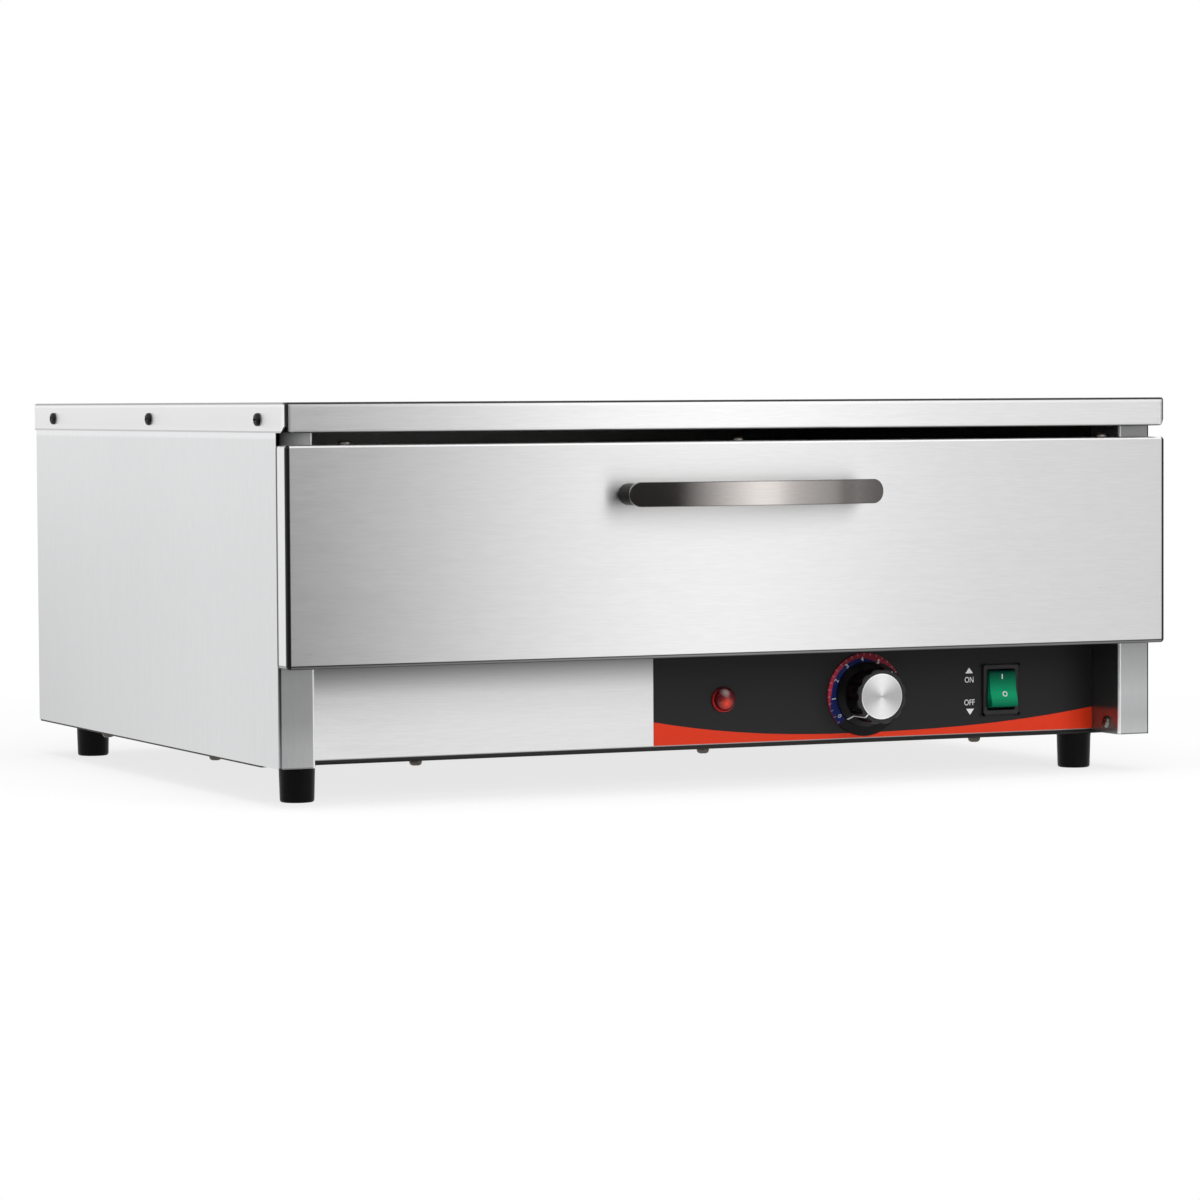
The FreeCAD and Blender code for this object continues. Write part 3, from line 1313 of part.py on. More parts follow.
def make_wiring():
    """Insulated leads between the inlet, block, switch, thermostat, lamp and heater."""
    block_rear = value("block_line") + value("block_depth") / 2
    block_front = value("block_line") - value("block_depth") / 2
    low = value("base_top") + value("block_height") / 2
    poles = [value("block_side") + i * value("block_pitch") for i in (-1, 0, 1)]
    pin_end = value("rear_panel_back") - value("inlet_depth") - value("pin_tail")
    inlet = value("inlet_side")
    half_pin = value("pin_spacing") / 2
    pin_low = value("inlet_line") - value("pin_offset")
    pin_high = value("inlet_line") + value("pin_offset")
    switch = value("rocker_side")
    stat = value("knob_side")
    switch_end = value("switch_back") + value("spade_length")
    stat_end = value("thermostat_back") + value("spade_length")
    spade_low = value("control_line") - value("spade_spacing") / 2
    spade_high = value("control_line") + value("spade_spacing") / 2
    lead = value("heater_run") / 2 + value("heater_lead")
    first = value("heater_front")
    last = first + 3 * value("heater_pitch")
    stud_low = value("divider_bottom") - value("heater_drop") - value("stud_length")
    lamp_end = value("overlay_face") + value("lamp_depth")
    lamp = value("lamp_side")
    stat_side = stat - value("thermostat_width") / 2
    step = value("wire_step")
    spread = value("wire_diameter")
    lamp_high = value("control_line") + spread
    lamp_low = value("control_line") - spread
    loop = stat_end + 2 * step
    routes = [
        [(inlet - half_pin, pin_end, pin_low), (inlet - half_pin, pin_end - 1.6 * step, pin_low),
         (poles[0], pin_end - 1.6 * step, low), (poles[0], block_rear, low)],
        [(inlet + half_pin, pin_end, pin_low), (inlet + half_pin, pin_end - 0.8 * step, pin_low),
         (poles[1], pin_end - 0.8 * step, low), (poles[1], block_rear, low)],
        [(inlet, pin_end, pin_high), (inlet, pin_end - 2.4 * step, pin_high),
         (poles[2], pin_end - 2.4 * step, low), (poles[2], block_rear, low)],
        [(poles[0], block_front, low), (poles[0], block_front - 2 * step, low),
         (switch, block_front - 7 * step, spade_low), (switch, switch_end, spade_low)],
        [(switch, switch_end, spade_high), (switch, loop, spade_high),
         (stat, loop, spade_high), (stat, stat_end, spade_high)],
        [(stat, stat_end, spade_low), (stat, stat_end + 3 * step, spade_low),
         (stat + 4 * step, first, stud_low - 2 * step), (lead, first, stud_low - 2 * step),
         (lead, first, stud_low)],
        [(poles[1], block_front, low), (poles[1], block_front - 1.5 * step, low),
         (lead, last, low), (lead, last, stud_low)],
        [(lamp - spread, lamp_end, lamp_high), (lamp - spread, lamp_end + 2 * step, lamp_high),
         (stat_side - 2 * step, lamp_end + 2 * step, lamp_high),
         (stat_side - 2 * step, lamp_end - step, lamp_high), (stat_side, lamp_end - step, lamp_high)],
        [(lamp + spread, lamp_end, lamp_low), (lamp + spread, lamp_end + step, lamp_low),
         (stat_side - 3 * step, lamp_end + step, lamp_low),
         (stat_side - 3 * step, lamp_end - step, lamp_low), (stat_side, lamp_end - step, lamp_low)],
    ]
    bend = value("wire_bend")
    leads = [tube(route, value("wire_diameter"), [bend] * (len(route) - 2)) for route in routes]
    add_shape("wiring", Part.makeCompound(leads))


def check_document():
    """Stop if any object failed or any piece is empty, open or wrong."""
    failed = [thing.Name for thing in doc.Objects if {"Invalid", "Error"} & set(thing.State)]
    if failed:
        raise RuntimeError(f"failed objects: {failed}")
    for piece in pieces:
        if piece.Shape.isNull() or not piece.Shape.isValid() or not piece.Shape.Solids:
            raise RuntimeError(f"bad shape: {piece.Label}")


for side_name in SIDES:
    make_side_panel(side_name)
make_top_cap()
make_rear_panel()
make_base_plate()
make_feet()
make_casing_screws()
make_fascia()
make_overlay()
make_pilot_lamp()
make_thermostat()
make_knob()
make_rocker_switch()
make_spades()
make_divider()
make_liner()
make_insulation()
make_drawer_front()
make_drawer_box()
make_slides()
make_handle()
make_heater()
make_sensing_bulb()
make_terminal_block()
make_inlet()
make_wiring()
doc.recompute()
check_document()
os.makedirs("parts", exist_ok=True)
for piece in pieces:
    piece.Shape.exportStep(f"parts/{piece.Label}.step")
print(f"{len(pieces)} pieces")
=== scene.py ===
import math

import bmesh
import bpy
from mathutils import Matrix, Vector


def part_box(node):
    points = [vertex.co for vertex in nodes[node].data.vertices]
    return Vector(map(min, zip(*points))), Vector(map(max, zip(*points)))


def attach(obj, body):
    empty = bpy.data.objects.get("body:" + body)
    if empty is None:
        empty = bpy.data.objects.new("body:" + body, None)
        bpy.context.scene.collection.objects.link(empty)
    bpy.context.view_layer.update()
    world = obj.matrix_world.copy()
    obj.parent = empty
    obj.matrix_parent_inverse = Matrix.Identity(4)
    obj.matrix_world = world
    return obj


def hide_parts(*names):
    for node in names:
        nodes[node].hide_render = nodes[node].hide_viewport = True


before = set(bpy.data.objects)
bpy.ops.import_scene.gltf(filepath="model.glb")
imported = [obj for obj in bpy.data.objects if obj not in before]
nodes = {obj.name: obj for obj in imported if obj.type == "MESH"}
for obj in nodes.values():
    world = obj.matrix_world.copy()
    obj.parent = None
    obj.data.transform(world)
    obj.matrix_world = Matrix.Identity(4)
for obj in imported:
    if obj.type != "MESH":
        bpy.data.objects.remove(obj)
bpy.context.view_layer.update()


# Rubber feet
# Four moulded black rubber feet, slightly tapered and rounded where they meet the counter. Each is
# sunk from below for the screw that holds it to the base plate.

def only(piece):
    """Make one object the only selected one, and the active one."""
    bpy.ops.object.select_all(action="DESELECT")
    piece.select_set(True)
    bpy.context.view_layer.objects.active = piece


def settle(piece, name):
    """Keep an object's place, turn and scale in its mesh, and name both."""
    only(piece)
    bpy.ops.object.transform_apply(location=True, rotation=True, scale=True)
    piece.name = name
    piece.data.name = name
    return piece


def turn(name, profile, sides=64):
    """A turned piece on its own Z axis, from (radius, height) points, closed at both ends."""
    bpy.ops.object.select_all(action="DESELECT")
    radius, height = profile[0]
    bpy.ops.mesh.primitive_circle_add(vertices=sides, radius=radius, fill_type="NGON",
                                      location=(0, 0, height))
    piece = settle(bpy.context.object, name)
    bpy.ops.object.mode_set(mode="EDIT")
    bpy.ops.mesh.select_all(action="SELECT")
    for next_radius, next_height in profile[1:]:
        bpy.ops.mesh.extrude_region_move(
            TRANSFORM_OT_translate={"value": (0, 0, next_height - height)})
        grow = next_radius / radius
        bpy.ops.transform.resize(value=(grow, grow, 1), center_override=(0, 0, next_height))
        radius, height = next_radius, next_height
    bpy.ops.mesh.select_all(action="SELECT")
    bpy.ops.mesh.normals_make_consistent(inside=False)
    bpy.ops.object.mode_set(mode="OBJECT")
    return piece


def stand(piece, at, axis=(0, 0, 1)):
    """Put a piece's own Z axis along the given axis, at a place."""
    swing = Vector((0, 0, 1)).rotation_difference(Vector(axis))
    piece.matrix_world = Matrix.Translation(at) @ swing.to_matrix().to_4x4()
    return settle(piece, piece.name)


def smooth(piece, angle=32):
    """Shade a piece smooth where its faces meet at less than an angle in degrees."""
    only(piece)
    bpy.ops.object.shade_smooth_by_angle(angle=math.radians(angle))


class Shade:
    """A socket of a material: arithmetic on it adds Math nodes, node() adds any other node."""

    def __init__(self, tree, socket):
        self.tree = tree
        self.socket = socket

    def node(self, kind, settings, inputs, output=0):
        """A new node with its settings, then its values and links; gives one of its outputs."""
        made = self.tree.nodes.new(kind)
        for name, setting in settings.items():
            if name == "stops":
                ramp = made.color_ramp.elements
                while len(ramp) < len(setting):
                    ramp.new(1.0)
                for stop, (position, level) in zip(ramp, setting):
                    stop.position = position
                    stop.color = (level, level, level, 1)
            else:
                setattr(made, name, setting)
        for name, given in inputs.items():
            if isinstance(given, Shade):
                self.tree.links.new(given.socket, made.inputs[name])
            else:
                made.inputs[name].default_value = given
        return Shade(self.tree, made.outputs[output])

    def maths(self, operation, *given):
        """A Math node on the given values."""
        return self.node("ShaderNodeMath", {"operation": operation}, dict(enumerate(given)))

    def __add__(self, other):
        return self.maths("ADD", self, other)

    def __sub__(self, other):
        return self.maths("SUBTRACT", self, other)

    def __rsub__(self, other):
        return self.maths("SUBTRACT", other, self)

    def __mul__(self, other):
        return self.maths("MULTIPLY", self, other)

    def __truediv__(self, other):
        return self.maths("DIVIDE", self, other)

    def __pow__(self, other):
        return self.maths("POWER", self, other)

    def __abs__(self):
        return self.maths("ABSOLUTE", self)

    __radd__ = __add__
    __rmul__ = __mul__

    def along(self, axis):
        """One coordinate of a vector socket."""
        return self.node("ShaderNodeSeparateXYZ", {}, {0: self}, axis)

    def rise(self, low, high):
        """0 below low, 1 above high, straight between; turned over if low is above high."""
        return self.node("ShaderNodeMapRange", {"clamp": True}, {0: self, 1: low, 2: high})

    def ramp(self, stops):
        """A level read along a ramp of (position, level) stops."""
        return self.node("ShaderNodeValToRGB", {"stops": stops}, {0: self})

    def mix(self, first, second):
        """A colour between two, by this value."""
        return self.node("ShaderNodeMix", {"data_type": "RGBA"}, {0: self, 6: first, 7: second}, 2)

    def noise(self, scale, detail=2.0, stretch=(1, 1, 1)):
        """Cloudy value round 0.5, so many lumps to a metre, squeezed by its stretch."""
        squeezed = self.node("ShaderNodeMapping", {}, {"Vector": self, "Scale": stretch})
        lumps = {"Vector": squeezed, "Scale": scale, "Detail": detail}
        return self.node("ShaderNodeTexNoise", {}, lumps)

    def into(self, shader, name):
        """Feed a socket of a shader."""
        self.tree.links.new(self.socket, shader.inputs[name])

    def bump(self, shader, strength, depth):
        """Stand as fine relief on a shader's face."""
        height = {"Strength": strength, "Distance": depth, "Height": self}
        self.node("ShaderNodeBump", {}, height).into(shader, "Normal")


def new_finish(name, levels):
    """A material, its shader with constant levels set, and its wearer's Object coordinates."""
    finish = bpy.data.materials.new(name)
    finish.use_nodes = True
    tree = finish.node_tree
    shader = tree.nodes["Principled BSDF"]
    for socket, level in levels.items():
        shader.inputs[socket].default_value = level
    return finish, shader, Shade(tree, tree.nodes.new("ShaderNodeTexCoord").outputs["Object"])


def grey(level, tint=(1, 1, 1)):
    """A grey colour of a level, or a tinted one."""
    return tuple(level * part for part in tint) + (1,)


def moulded(name, dark, pale, roughness, grain, depth, levels):
    """Moulded rubber or plastic: two close colours in soft clouds under a fine moulded grain."""
    finish, shader, place = new_finish(name, levels)
    cloud = place.noise(90, 4)
    speck = place.noise(grain, 3)
    cloud.rise(0.3, 0.7).mix(dark, pale).into(shader, "Base Color")
    (roughness - 0.06 + 0.12 * cloud + 0.1 * (speck - 0.5)).into(shader, "Roughness")
    speck.bump(shader, 0.35, depth)
    return finish


def dress(piece, finish, body, slot, *replaced):
    """Give a new piece its finish, the body it rides on and the nodes it stands for; slot is not used.
    """
    piece.data.materials.clear()
    piece.data.materials.append(finish)
    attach(piece, body)
    if replaced:
        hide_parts(*replaced)


def middle_of(name):
    """The middle of a CAD node's box."""
    low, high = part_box(name)
    return (low + high) / 2


FOOT_HEIGHT = 0.022
FOOT_PROFILE = [
    (0.0041, 0.0060), (0.0041, 0.0006), (0.0047, 0.0), (0.0088, 0.0), (0.0095, 0.0002),
    (0.0100, 0.0008), (0.01015, 0.0018), (0.01065, 0.0198), (0.0108, 0.0206), (0.0108, 0.0216),
    (0.0105, FOOT_HEIGHT),
]
foot_rubber = moulded("foot_rubber", grey(0.002), grey(0.005), 0.36, 1400, 0.0002,
                      {"Specular IOR Level": 0.08})
foot_places = []
for side in ("left", "right"):
    for end in ("front", "rear"):
        node = f"{side}_{end}_foot"
        place = middle_of(node)
        foot = turn(f"{side}_{end}_rubber_foot", FOOT_PROFILE, 72)
        smooth(stand(foot, (place.x, place.y, 0)))
        dress(foot, foot_rubber, "cabinet", "foot_rubber", node)
        foot_places.append(place)


# Base plate and its screws
# A flat sheet of plain steel that closes the wiring space from below, held by pan-head steel screws
# with a cross recess. The same screws hold the feet from below.


def paint(finish, *names):
    """Put a finish on CAD nodes that keep their own shape."""
    for name in names:
        nodes[name].material_slots[0].material = finish


def plain_metal(name, tone, tint, roughness, grain=500):
    """Rolled or plated metal: cloudy tone, fine scratches and slightly uneven gloss."""
    finish, shader, place = new_finish(name, {"Metallic": 1.0})
    cloud = place.noise(35, 4)
    speck = place.noise(grain, 3, (1, 1, 0.25))
    level = (0.9 + 0.1 * cloud + 0.12 * (speck - 0.5)).rise(0.75, 1.2)
    level.mix(grey(tone * 0.78, tint), grey(tone * 1.1, tint)).into(shader, "Base Color")
    (roughness + 0.07 * (cloud - 0.5) + 0.14 * (speck - 0.5)).into(shader, "Roughness")
    speck.bump(shader, 0.12, 0.0001)
    return finish


def box_of(name, low, high):
    """A box between two corners."""
    bpy.ops.object.select_all(action="DESELECT")
    low, high = Vector(low), Vector(high)
    bpy.ops.mesh.primitive_cube_add(size=1, location=(low + high) / 2)
    bpy.context.object.scale = high - low
    return settle(bpy.context.object, name)


def shape_by(piece, kind, **settings):
    """Add a modifier with its settings, and apply it."""
    only(piece)
    work = piece.modifiers.new("work", kind)
    for name, setting in settings.items():
        setattr(work, name, setting)
    bpy.ops.object.modifier_apply(modifier="work")


def cut_by(piece, cutter):
    """Cut one shape out of a piece, and throw the cutter away."""
    shape_by(piece, "BOOLEAN", object=cutter, operation="DIFFERENCE", solver="EXACT")
    bpy.data.objects.remove(cutter)


def copy_of(piece, name):
    """A copy of a piece with its own mesh."""
    twin = piece.copy()
    twin.data = piece.data.copy()
    twin.name = name
    bpy.context.scene.collection.objects.link(twin)
    return twin


def join(pieces, name):
    """One object from several."""
    bpy.ops.object.select_all(action="DESELECT")
    for piece in pieces:
        piece.select_set(True)
    bpy.context.view_layer.objects.active = pieces[0]
    bpy.ops.object.join()
    return settle(pieces[0], name)


HEAD_RADIUS = 0.00385
SHANK_RADIUS = 0.002
RECESS_ARM = 0.0023
RECESS_WIDTH = 0.00105
RECESS_DEPTH = 0.0014


def pan_screw(length, rise):
    """Pan-head screw on its own Z axis, its seat at zero, with a cross recess in its head."""
    screw = turn("screw", [
        (0.0016, -length), (SHANK_RADIUS, -length + 0.0006), (SHANK_RADIUS, 0.0),
        (HEAD_RADIUS - 0.0001, 0.0), (HEAD_RADIUS, 0.12 * rise), (HEAD_RADIUS, 0.38 * rise),
        (0.00368, 0.58 * rise), (0.0033, 0.79 * rise), (0.0027, 0.92 * rise), (0.0018, rise),
    ], 40)
    foot, head = rise - RECESS_DEPTH, rise + 0.001
    for x, y in ((RECESS_ARM, RECESS_WIDTH / 2), (RECESS_WIDTH / 2, RECESS_ARM)):
        cut_by(screw, box_of("recess", (-x, -y, foot), (x, y, head)))
    return screw


def set_screws(name, node, finish, slot, body, seats, length=0.008, rise=0.0024):
    """Copies of one screw at each seat, as one piece: a seat is a place, an axis and a turn."""
    model = pan_screw(length, rise)
    copies = []
    for at, axis, spin in seats:
        screw = copy_of(model, name)
        only(screw)
        screw.rotation_euler = (0, 0, math.radians(spin))
        settle(screw, name)
        copies.append(stand(screw, at, axis))
    bpy.data.objects.remove(model)
    whole = join(copies, name)
    smooth(whole)
    dress(whole, finish, body, slot, node)


DOWN = (0, 0, -1)
BASE_FRONT_LINE = -0.1677
BASE_FRONT_PLACES = (-0.188, 0, 0.188)
BASE_SIDE_PLACES = (-0.28, 0.28)
BASE_SIDE_LINES = (-0.0747, 0.1323)
BASE_HEAD_RISE = 0.0034
FOOT_SEAT = 0.006
FOOT_SCREW_LENGTH = 0.024
worn_steel = plain_metal("base_screw_steel", 0.1, (1, 0.88, 0.76), 0.24, 900)
# The base plate's steel is near-black: painted shade for the shadowed line along its front edge.
base_plate_dark_for_shade = plain_metal("base_plate_painted_shade", 0.04, (1, 0.97, 0.94), 0.5)
paint(base_plate_dark_for_shade, "base_plate")
base_seats = [((x, BASE_FRONT_LINE, FOOT_HEIGHT), DOWN, 20 + 40 * x) for x in BASE_FRONT_PLACES]
base_seats += [((x, y, FOOT_HEIGHT), DOWN, 35) for x in BASE_SIDE_PLACES for y in BASE_SIDE_LINES]
set_screws("base_pan_screws", "base_screws", worn_steel, "bright_screw", "cabinet", base_seats,
           rise=BASE_HEAD_RISE)
foot_seats = [((place.x, place.y, FOOT_SEAT), DOWN, 10) for place in foot_places]
set_screws("foot_pan_screws", "foot_screws", worn_steel, "bright_screw", "cabinet", foot_seats,
           FOOT_SCREW_LENGTH)


# Side panels
# Stainless sheet brushed up and down, folded to a front post with a return, and to flanges at the
# rear and floor. The folds carry thin darker lines of painted shade, and the posts painted shade by
# the drawer.

def brushed_steel(name, grain, tone, roughness, painted_shading, tint=(1, 1, 1)):
    """Brushed stainless sheet: lines along one axis in tone, gloss and relief, and painted shading."""
    across_grain = 0.0 if grain == 2 else 0.25
    finish, shader, place = new_finish(name, {
        "Metallic": 1.0, "Anisotropic": 0.8, "Anisotropic Rotation": across_grain})
    fine = [1500, 1500, 1500]
    broad = [260, 260, 260]
    fine[grain] = 90
    broad[grain] = 6
    line = place.noise(1, 4, fine)
    streak = place.noise(1, 3, broad)
    cloud = place.noise(5, 2)
    level = 1 + 0.16 * (line - 0.5) + 0.035 * (streak - 0.5) + 0.05 * (cloud - 0.5)
    # The mask darkens or lightens the tone with painted shade and highlight.
    level = level * (1 - painted_shading(place))
    level.rise(0, 1.6).mix(grey(0), grey(tone * 1.6, tint)).into(shader, "Base Color")
    (roughness + 0.08 * (line - 0.5) + 0.03 * (streak - 0.5)).into(shader, "Roughness")
    line.bump(shader, 0.05, 0.00002)
    return finish


panel_low, panel_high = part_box("right_side_panel")


def post_shade(place):
    """Painted shade on the posts' outer bends, by the drawer and inside; painted highlight on inner
    bends.
    """
    across = abs(place.along("X"))
    depth = place.along("Y")
    height = place.along("Z")
    right = place.along("X").rise(0, 0.1)
    on_post = depth.rise(panel_low.y + 0.0022, panel_low.y + 0.0012)
    on_side = across.rise(panel_high.x - 0.0010, panel_high.x - 0.0005)
    # Painted shade on the posts: under and over the drawer, low on the right post, along the foot and
    # in the outer bend; painted light low on the left post and a painted highlight in the inner bend.
    under_drawer = (0.32 + 0.25 * right) * height.rise(0.02, 0.085)
    low_part = (0.37 * right - 0.17) * height.rise(0.05, 0.035)
    foot_line = 0.5 * height.rise(panel_low.z + 0.0009, panel_low.z + 0.0005)
    over_drawer = height.rise(0.207, 0.2085) * across.rise(0.2715, 0.2885)
    under_cap = 0.1 * height.rise(0.2, 0.21) + 0.57 * (1 - right) * over_drawer
    outer = (0.55 + 0.2 * right) * across.rise(panel_high.x - 0.0016, panel_high.x - 0.0010)
    inner = 0.5 * across.rise(panel_low.x + 0.0018, panel_low.x + 0.0012)
    post = 0.02 + under_drawer + low_part + foot_line + under_cap + outer - inner
    # On the sides, painted shade towards the lower rear and a painted highlight under the cap's skirt;
    # inside the return, painted shade.
    to_rear = 0.15 * depth.rise(-0.1, 0.25) * height.rise(0.22, 0.03)
    under_skirt = 0.12 * height.rise(0.2115, 0.2130)
    within = across.rise(0.2690, 0.2686) * height.rise(0.09, 0.085) * depth.rise(-0.1, -0.11)
    return on_post * post + on_side * (to_rear - under_skirt) + 0.68 * (1 - on_post) * within


side_steel = brushed_steel("side_steel", 2, 0.82, 0.30, post_shade, (0.985, 0.992, 1))
paint(side_steel, "left_side_panel", "right_side_panel")


# Control fascia and its screws
# A folded stainless strip, brushed along its length, between the two posts. One pan-head screw in
# each post's return holds it.

def recess_shade(place):
    """Painted shade under the drawer front and in the strip's foot bend; painted light to the left."""
    height = place.along("Z")
    under = height.rise(0.060, 0.083)
    to_left = place.along("X").rise(-0.04, -panel_low.x)
    shade = 0.86 * under ** 1.3 + 0.96 * height.rise(0.0254, 0.0245)
    return 1 - (1 - shade) * (0.79 + 0.13 * to_left + 0.5 * to_left ** 2.5)


screw_steel = plain_metal("screw_steel", 0.24, (1, 0.93, 0.84), 0.28, 900)
fascia_steel = brushed_steel("fascia_steel", 0, 0.71, 0.30, recess_shade)
paint(fascia_steel, "control_fascia")
fascia_screw = middle_of("fascia_screws")
fascia_seats = [((side * panel_low.x, fascia_screw.y, fascia_screw.z), (-side, 0, 0), 25)
                for side in (-1, 1)]
set_screws("fascia_pan_screws", "fascia_screws", screw_steel, "bright_screw", "cabinet", fascia_seats)


# Liner, divider and insulation
# Plain folded steel sheets line the drawer space and part it from the wiring below. Pale boards of
# mineral fibre fill the room between the liner and the casing.

liner_sheet_steel = plain_metal("liner_sheet_steel", 0.62, (1, 0.995, 0.98), 0.36)
fibre, fibre_shader, fibre_place = new_finish("board_fibre", {"Roughness": 0.95})
tuft = fibre_place.noise(260, 5, (1, 1, 3))
fibre_colour = tuft.rise(0.3, 0.75).mix((0.42, 0.37, 0.24, 1), (0.78, 0.72, 0.55, 1))
fibre_colour.into(fibre_shader, "Base Color")
tuft.bump(fibre_shader, 0.6, 0.0012)
paint(fibre, "insulation_boards")
paint(liner_sheet_steel, "inner_liner", "liner_back", "divider_plate")


# Heater, thermostat and wiring
# A sheathed element in steel brackets, a capillary thermostat with a copper bulb, brass blades, a
# porcelain block and insulated leads, all hidden behind the fascia and under the drawer.

zinc = plain_metal("slide_zinc", 0.58, (0.97, 0.985, 1), 0.32)
brass = plain_metal("terminal_brass", 0.8, (0.95, 0.72, 0.36), 0.3)
copper = plain_metal("bulb_copper", 0.85, (0.95, 0.55, 0.4), 0.28)
sheath = plain_metal("heater_sheath", 0.2, (1, 0.9, 0.78), 0.5)
shaft_steel = plain_metal("shaft_steel", 0.62, (1, 1, 1), 0.26)
stat_case = plain_metal("thermostat_case", 0.55, (1, 0.98, 0.93), 0.38)
porcelain = moulded("porcelain", (0.72, 0.69, 0.62, 1), (0.82, 0.8, 0.74, 1), 0.2, 500, 0.0001,
                    {"Coat Weight": 0.5})
wire_sheath = moulded("wire_sheath", (0.62, 0.6, 0.56, 1), (0.72, 0.7, 0.66, 1), 0.5, 2200, 0.0001,
                      {})
paint(zinc, "heater_brackets", "bulb_clips", "thermostat_nut", "cabinet_rail_rivets",
      "drawer_rail_rivets")
paint(sheath, "heating_element")
paint(brass, "heater_terminals", "spade_terminals", "inlet_pins")
paint(copper, "sensing_bulb")
paint(shaft_steel, "thermostat_shaft")
paint(stat_case, "thermostat_body")
paint(porcelain, "terminal_block")
paint(wire_sheath, "wiring")


# Rear panel, inlet and rear screws
# A flat stainless sheet with vent slots, screwed to the side panels' flanges, with a moulded black
# appliance inlet at its lower right.

REAR_PLACES = (-0.281, 0.281)
REAR_HEIGHTS = (0.0572, 0.1292, 0.2012)
INLET_FACE = 0.2531
INLET_SCREW_REACH = 0.02
TO_REAR = (0, 1, 0)
switch_black = moulded("switch_black", grey(0.010), grey(0.018), 0.34, 1800, 0.00012,
                       {"Specular IOR Level": 0.25})
paint(side_steel, "rear_panel")
paint(switch_black, "inlet_housing")
rear_seats = [((x, panel_high.y, z), TO_REAR, 30) for x in REAR_PLACES for z in REAR_HEIGHTS]
inlet = middle_of("inlet_housing")
rear_seats += [((inlet.x + side * INLET_SCREW_REACH, INLET_FACE, inlet.z), TO_REAR, 15)
               for side in (-1, 1)]
set_screws("rear_pan_screws", "rear_screws", screw_steel, "bright_screw", "cabinet", rear_seats)


# Slides
# Three nested channels of zinc-plated steel on each side carry the drawer: one riveted to the liner,
# one riveted to the drawer box, and one that runs between the two.

paint(zinc, "left_cabinet_rail", "left_middle_rail", "left_drawer_rail",
      "right_cabinet_rail", "right_middle_rail", "right_drawer_rail")


# Drawer box
# An open box folded and welded from plain steel sheet, with an outward rim, riveted to the drawer
# rails. The plate that closes the drawer front from behind is of the same sheet.

paint(liner_sheet_steel, "drawer_box", "drawer_inner_plate")


# Drawer front and its screws
# A pan folded from one brushed stainless sheet, its corners welded and ground round, closed behind by
# a plate. Three small screws in its top fold hold the two together.

def pick(kind, wanted):
    """In edit mode, select only the vertices, edges or faces that pass a test of their middle."""
    mesh = bpy.context.edit_object.data
    bpy.ops.mesh.select_mode(type=kind)
    bpy.ops.mesh.select_all(action="DESELECT")
    work = bmesh.from_edit_mesh(mesh)
    parts = {"VERT": work.verts, "EDGE": work.edges, "FACE": work.faces}[kind]
    for part in parts:
        corners = [part] if kind == "VERT" else part.verts
        middle = sum((corner.co for corner in corners), Vector()) / len(corners)
        part.select_set(bool(wanted(part, middle)))
    work.select_flush_mode()
    bmesh.update_edit_mesh(mesh)


def runs(edge, axis):
    """Whether an edge is parallel to X, Y or Z."""
    reach = edge.verts[1].co - edge.verts[0].co
    return abs(abs(reach.normalized()[axis]) - 1) < 1e-3


def close(first, second):
    """Whether two lengths agree to a hundredth of a millimetre."""
    return abs(first - second) < 1e-5


def at_bend(place, low, high, width):
    """1 along the edges of a box, where two of its faces meet."""
    near = []
    for axis, name in enumerate("XYZ"):
        middle, half = (low[axis] + high[axis]) / 2, (high[axis] - low[axis]) / 2
        near.append(abs(place.along(name) - middle).rise(half - width, half - 0.6 * width))
    return (near[0] + near[1] + near[2]).rise(1.3, 1.7)


def level_faces(piece):
    """Smooth the bends and keep the large faces flat in the light."""
    smooth(piece)
    shape_by(piece, "WEIGHTED_NORMAL", weight=100, keep_sharp=True)


# The pan's lower fold hangs by FRONT_DROP below the solid's. TALL takes a box's foot or top out of
# reach, so that at_bend leaves its level edges out.
SHEET = 0.001
FRONT_CORNER = 0.0022
FRONT_BEND = 0.0019
FRONT_DROP = 0.0013
FRONT_SCREW_PLACES = (-0.25, 0, 0.25)
TALL = Vector((0, 0, 1))
front_low, front_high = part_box("drawer_front")
front_low.z -= FRONT_DROP


def front_bends(place):
    """Painted reflection and shade along the pan's bends, at its foot and on its flank ends."""
    # Painted dark reflections in the upright bends, a painted highlight along the top bend, painted
    # highlights on the flank ends, and grey and dark lines of painted reflection and shade at the
    # foot.
    upright = at_bend(place, front_low - TALL, front_high + TALL, 0.0030)
    top_line = place.along("Z").rise(front_high.z - 0.0016, front_high.z - 0.0012)
    top_line = top_line * place.along("Y").rise(front_low.y + 0.0028, front_low.y + 0.0020)
    height = place.along("Z") - front_low.z
    foot = height.rise(0.0024, 0.0021) * (0.65 + 0.26 * height.rise(0.0014, 0.0017))
    foot = foot + 0.28 * height.rise(0.0007, 0.0004)
    end = abs(place.along("X")).rise(front_high.x - 0.0004, front_high.x - 0.0002)
    return 0.94 * upright + (foot - 0.8 * top_line - 0.3 * end) * (1 - upright)


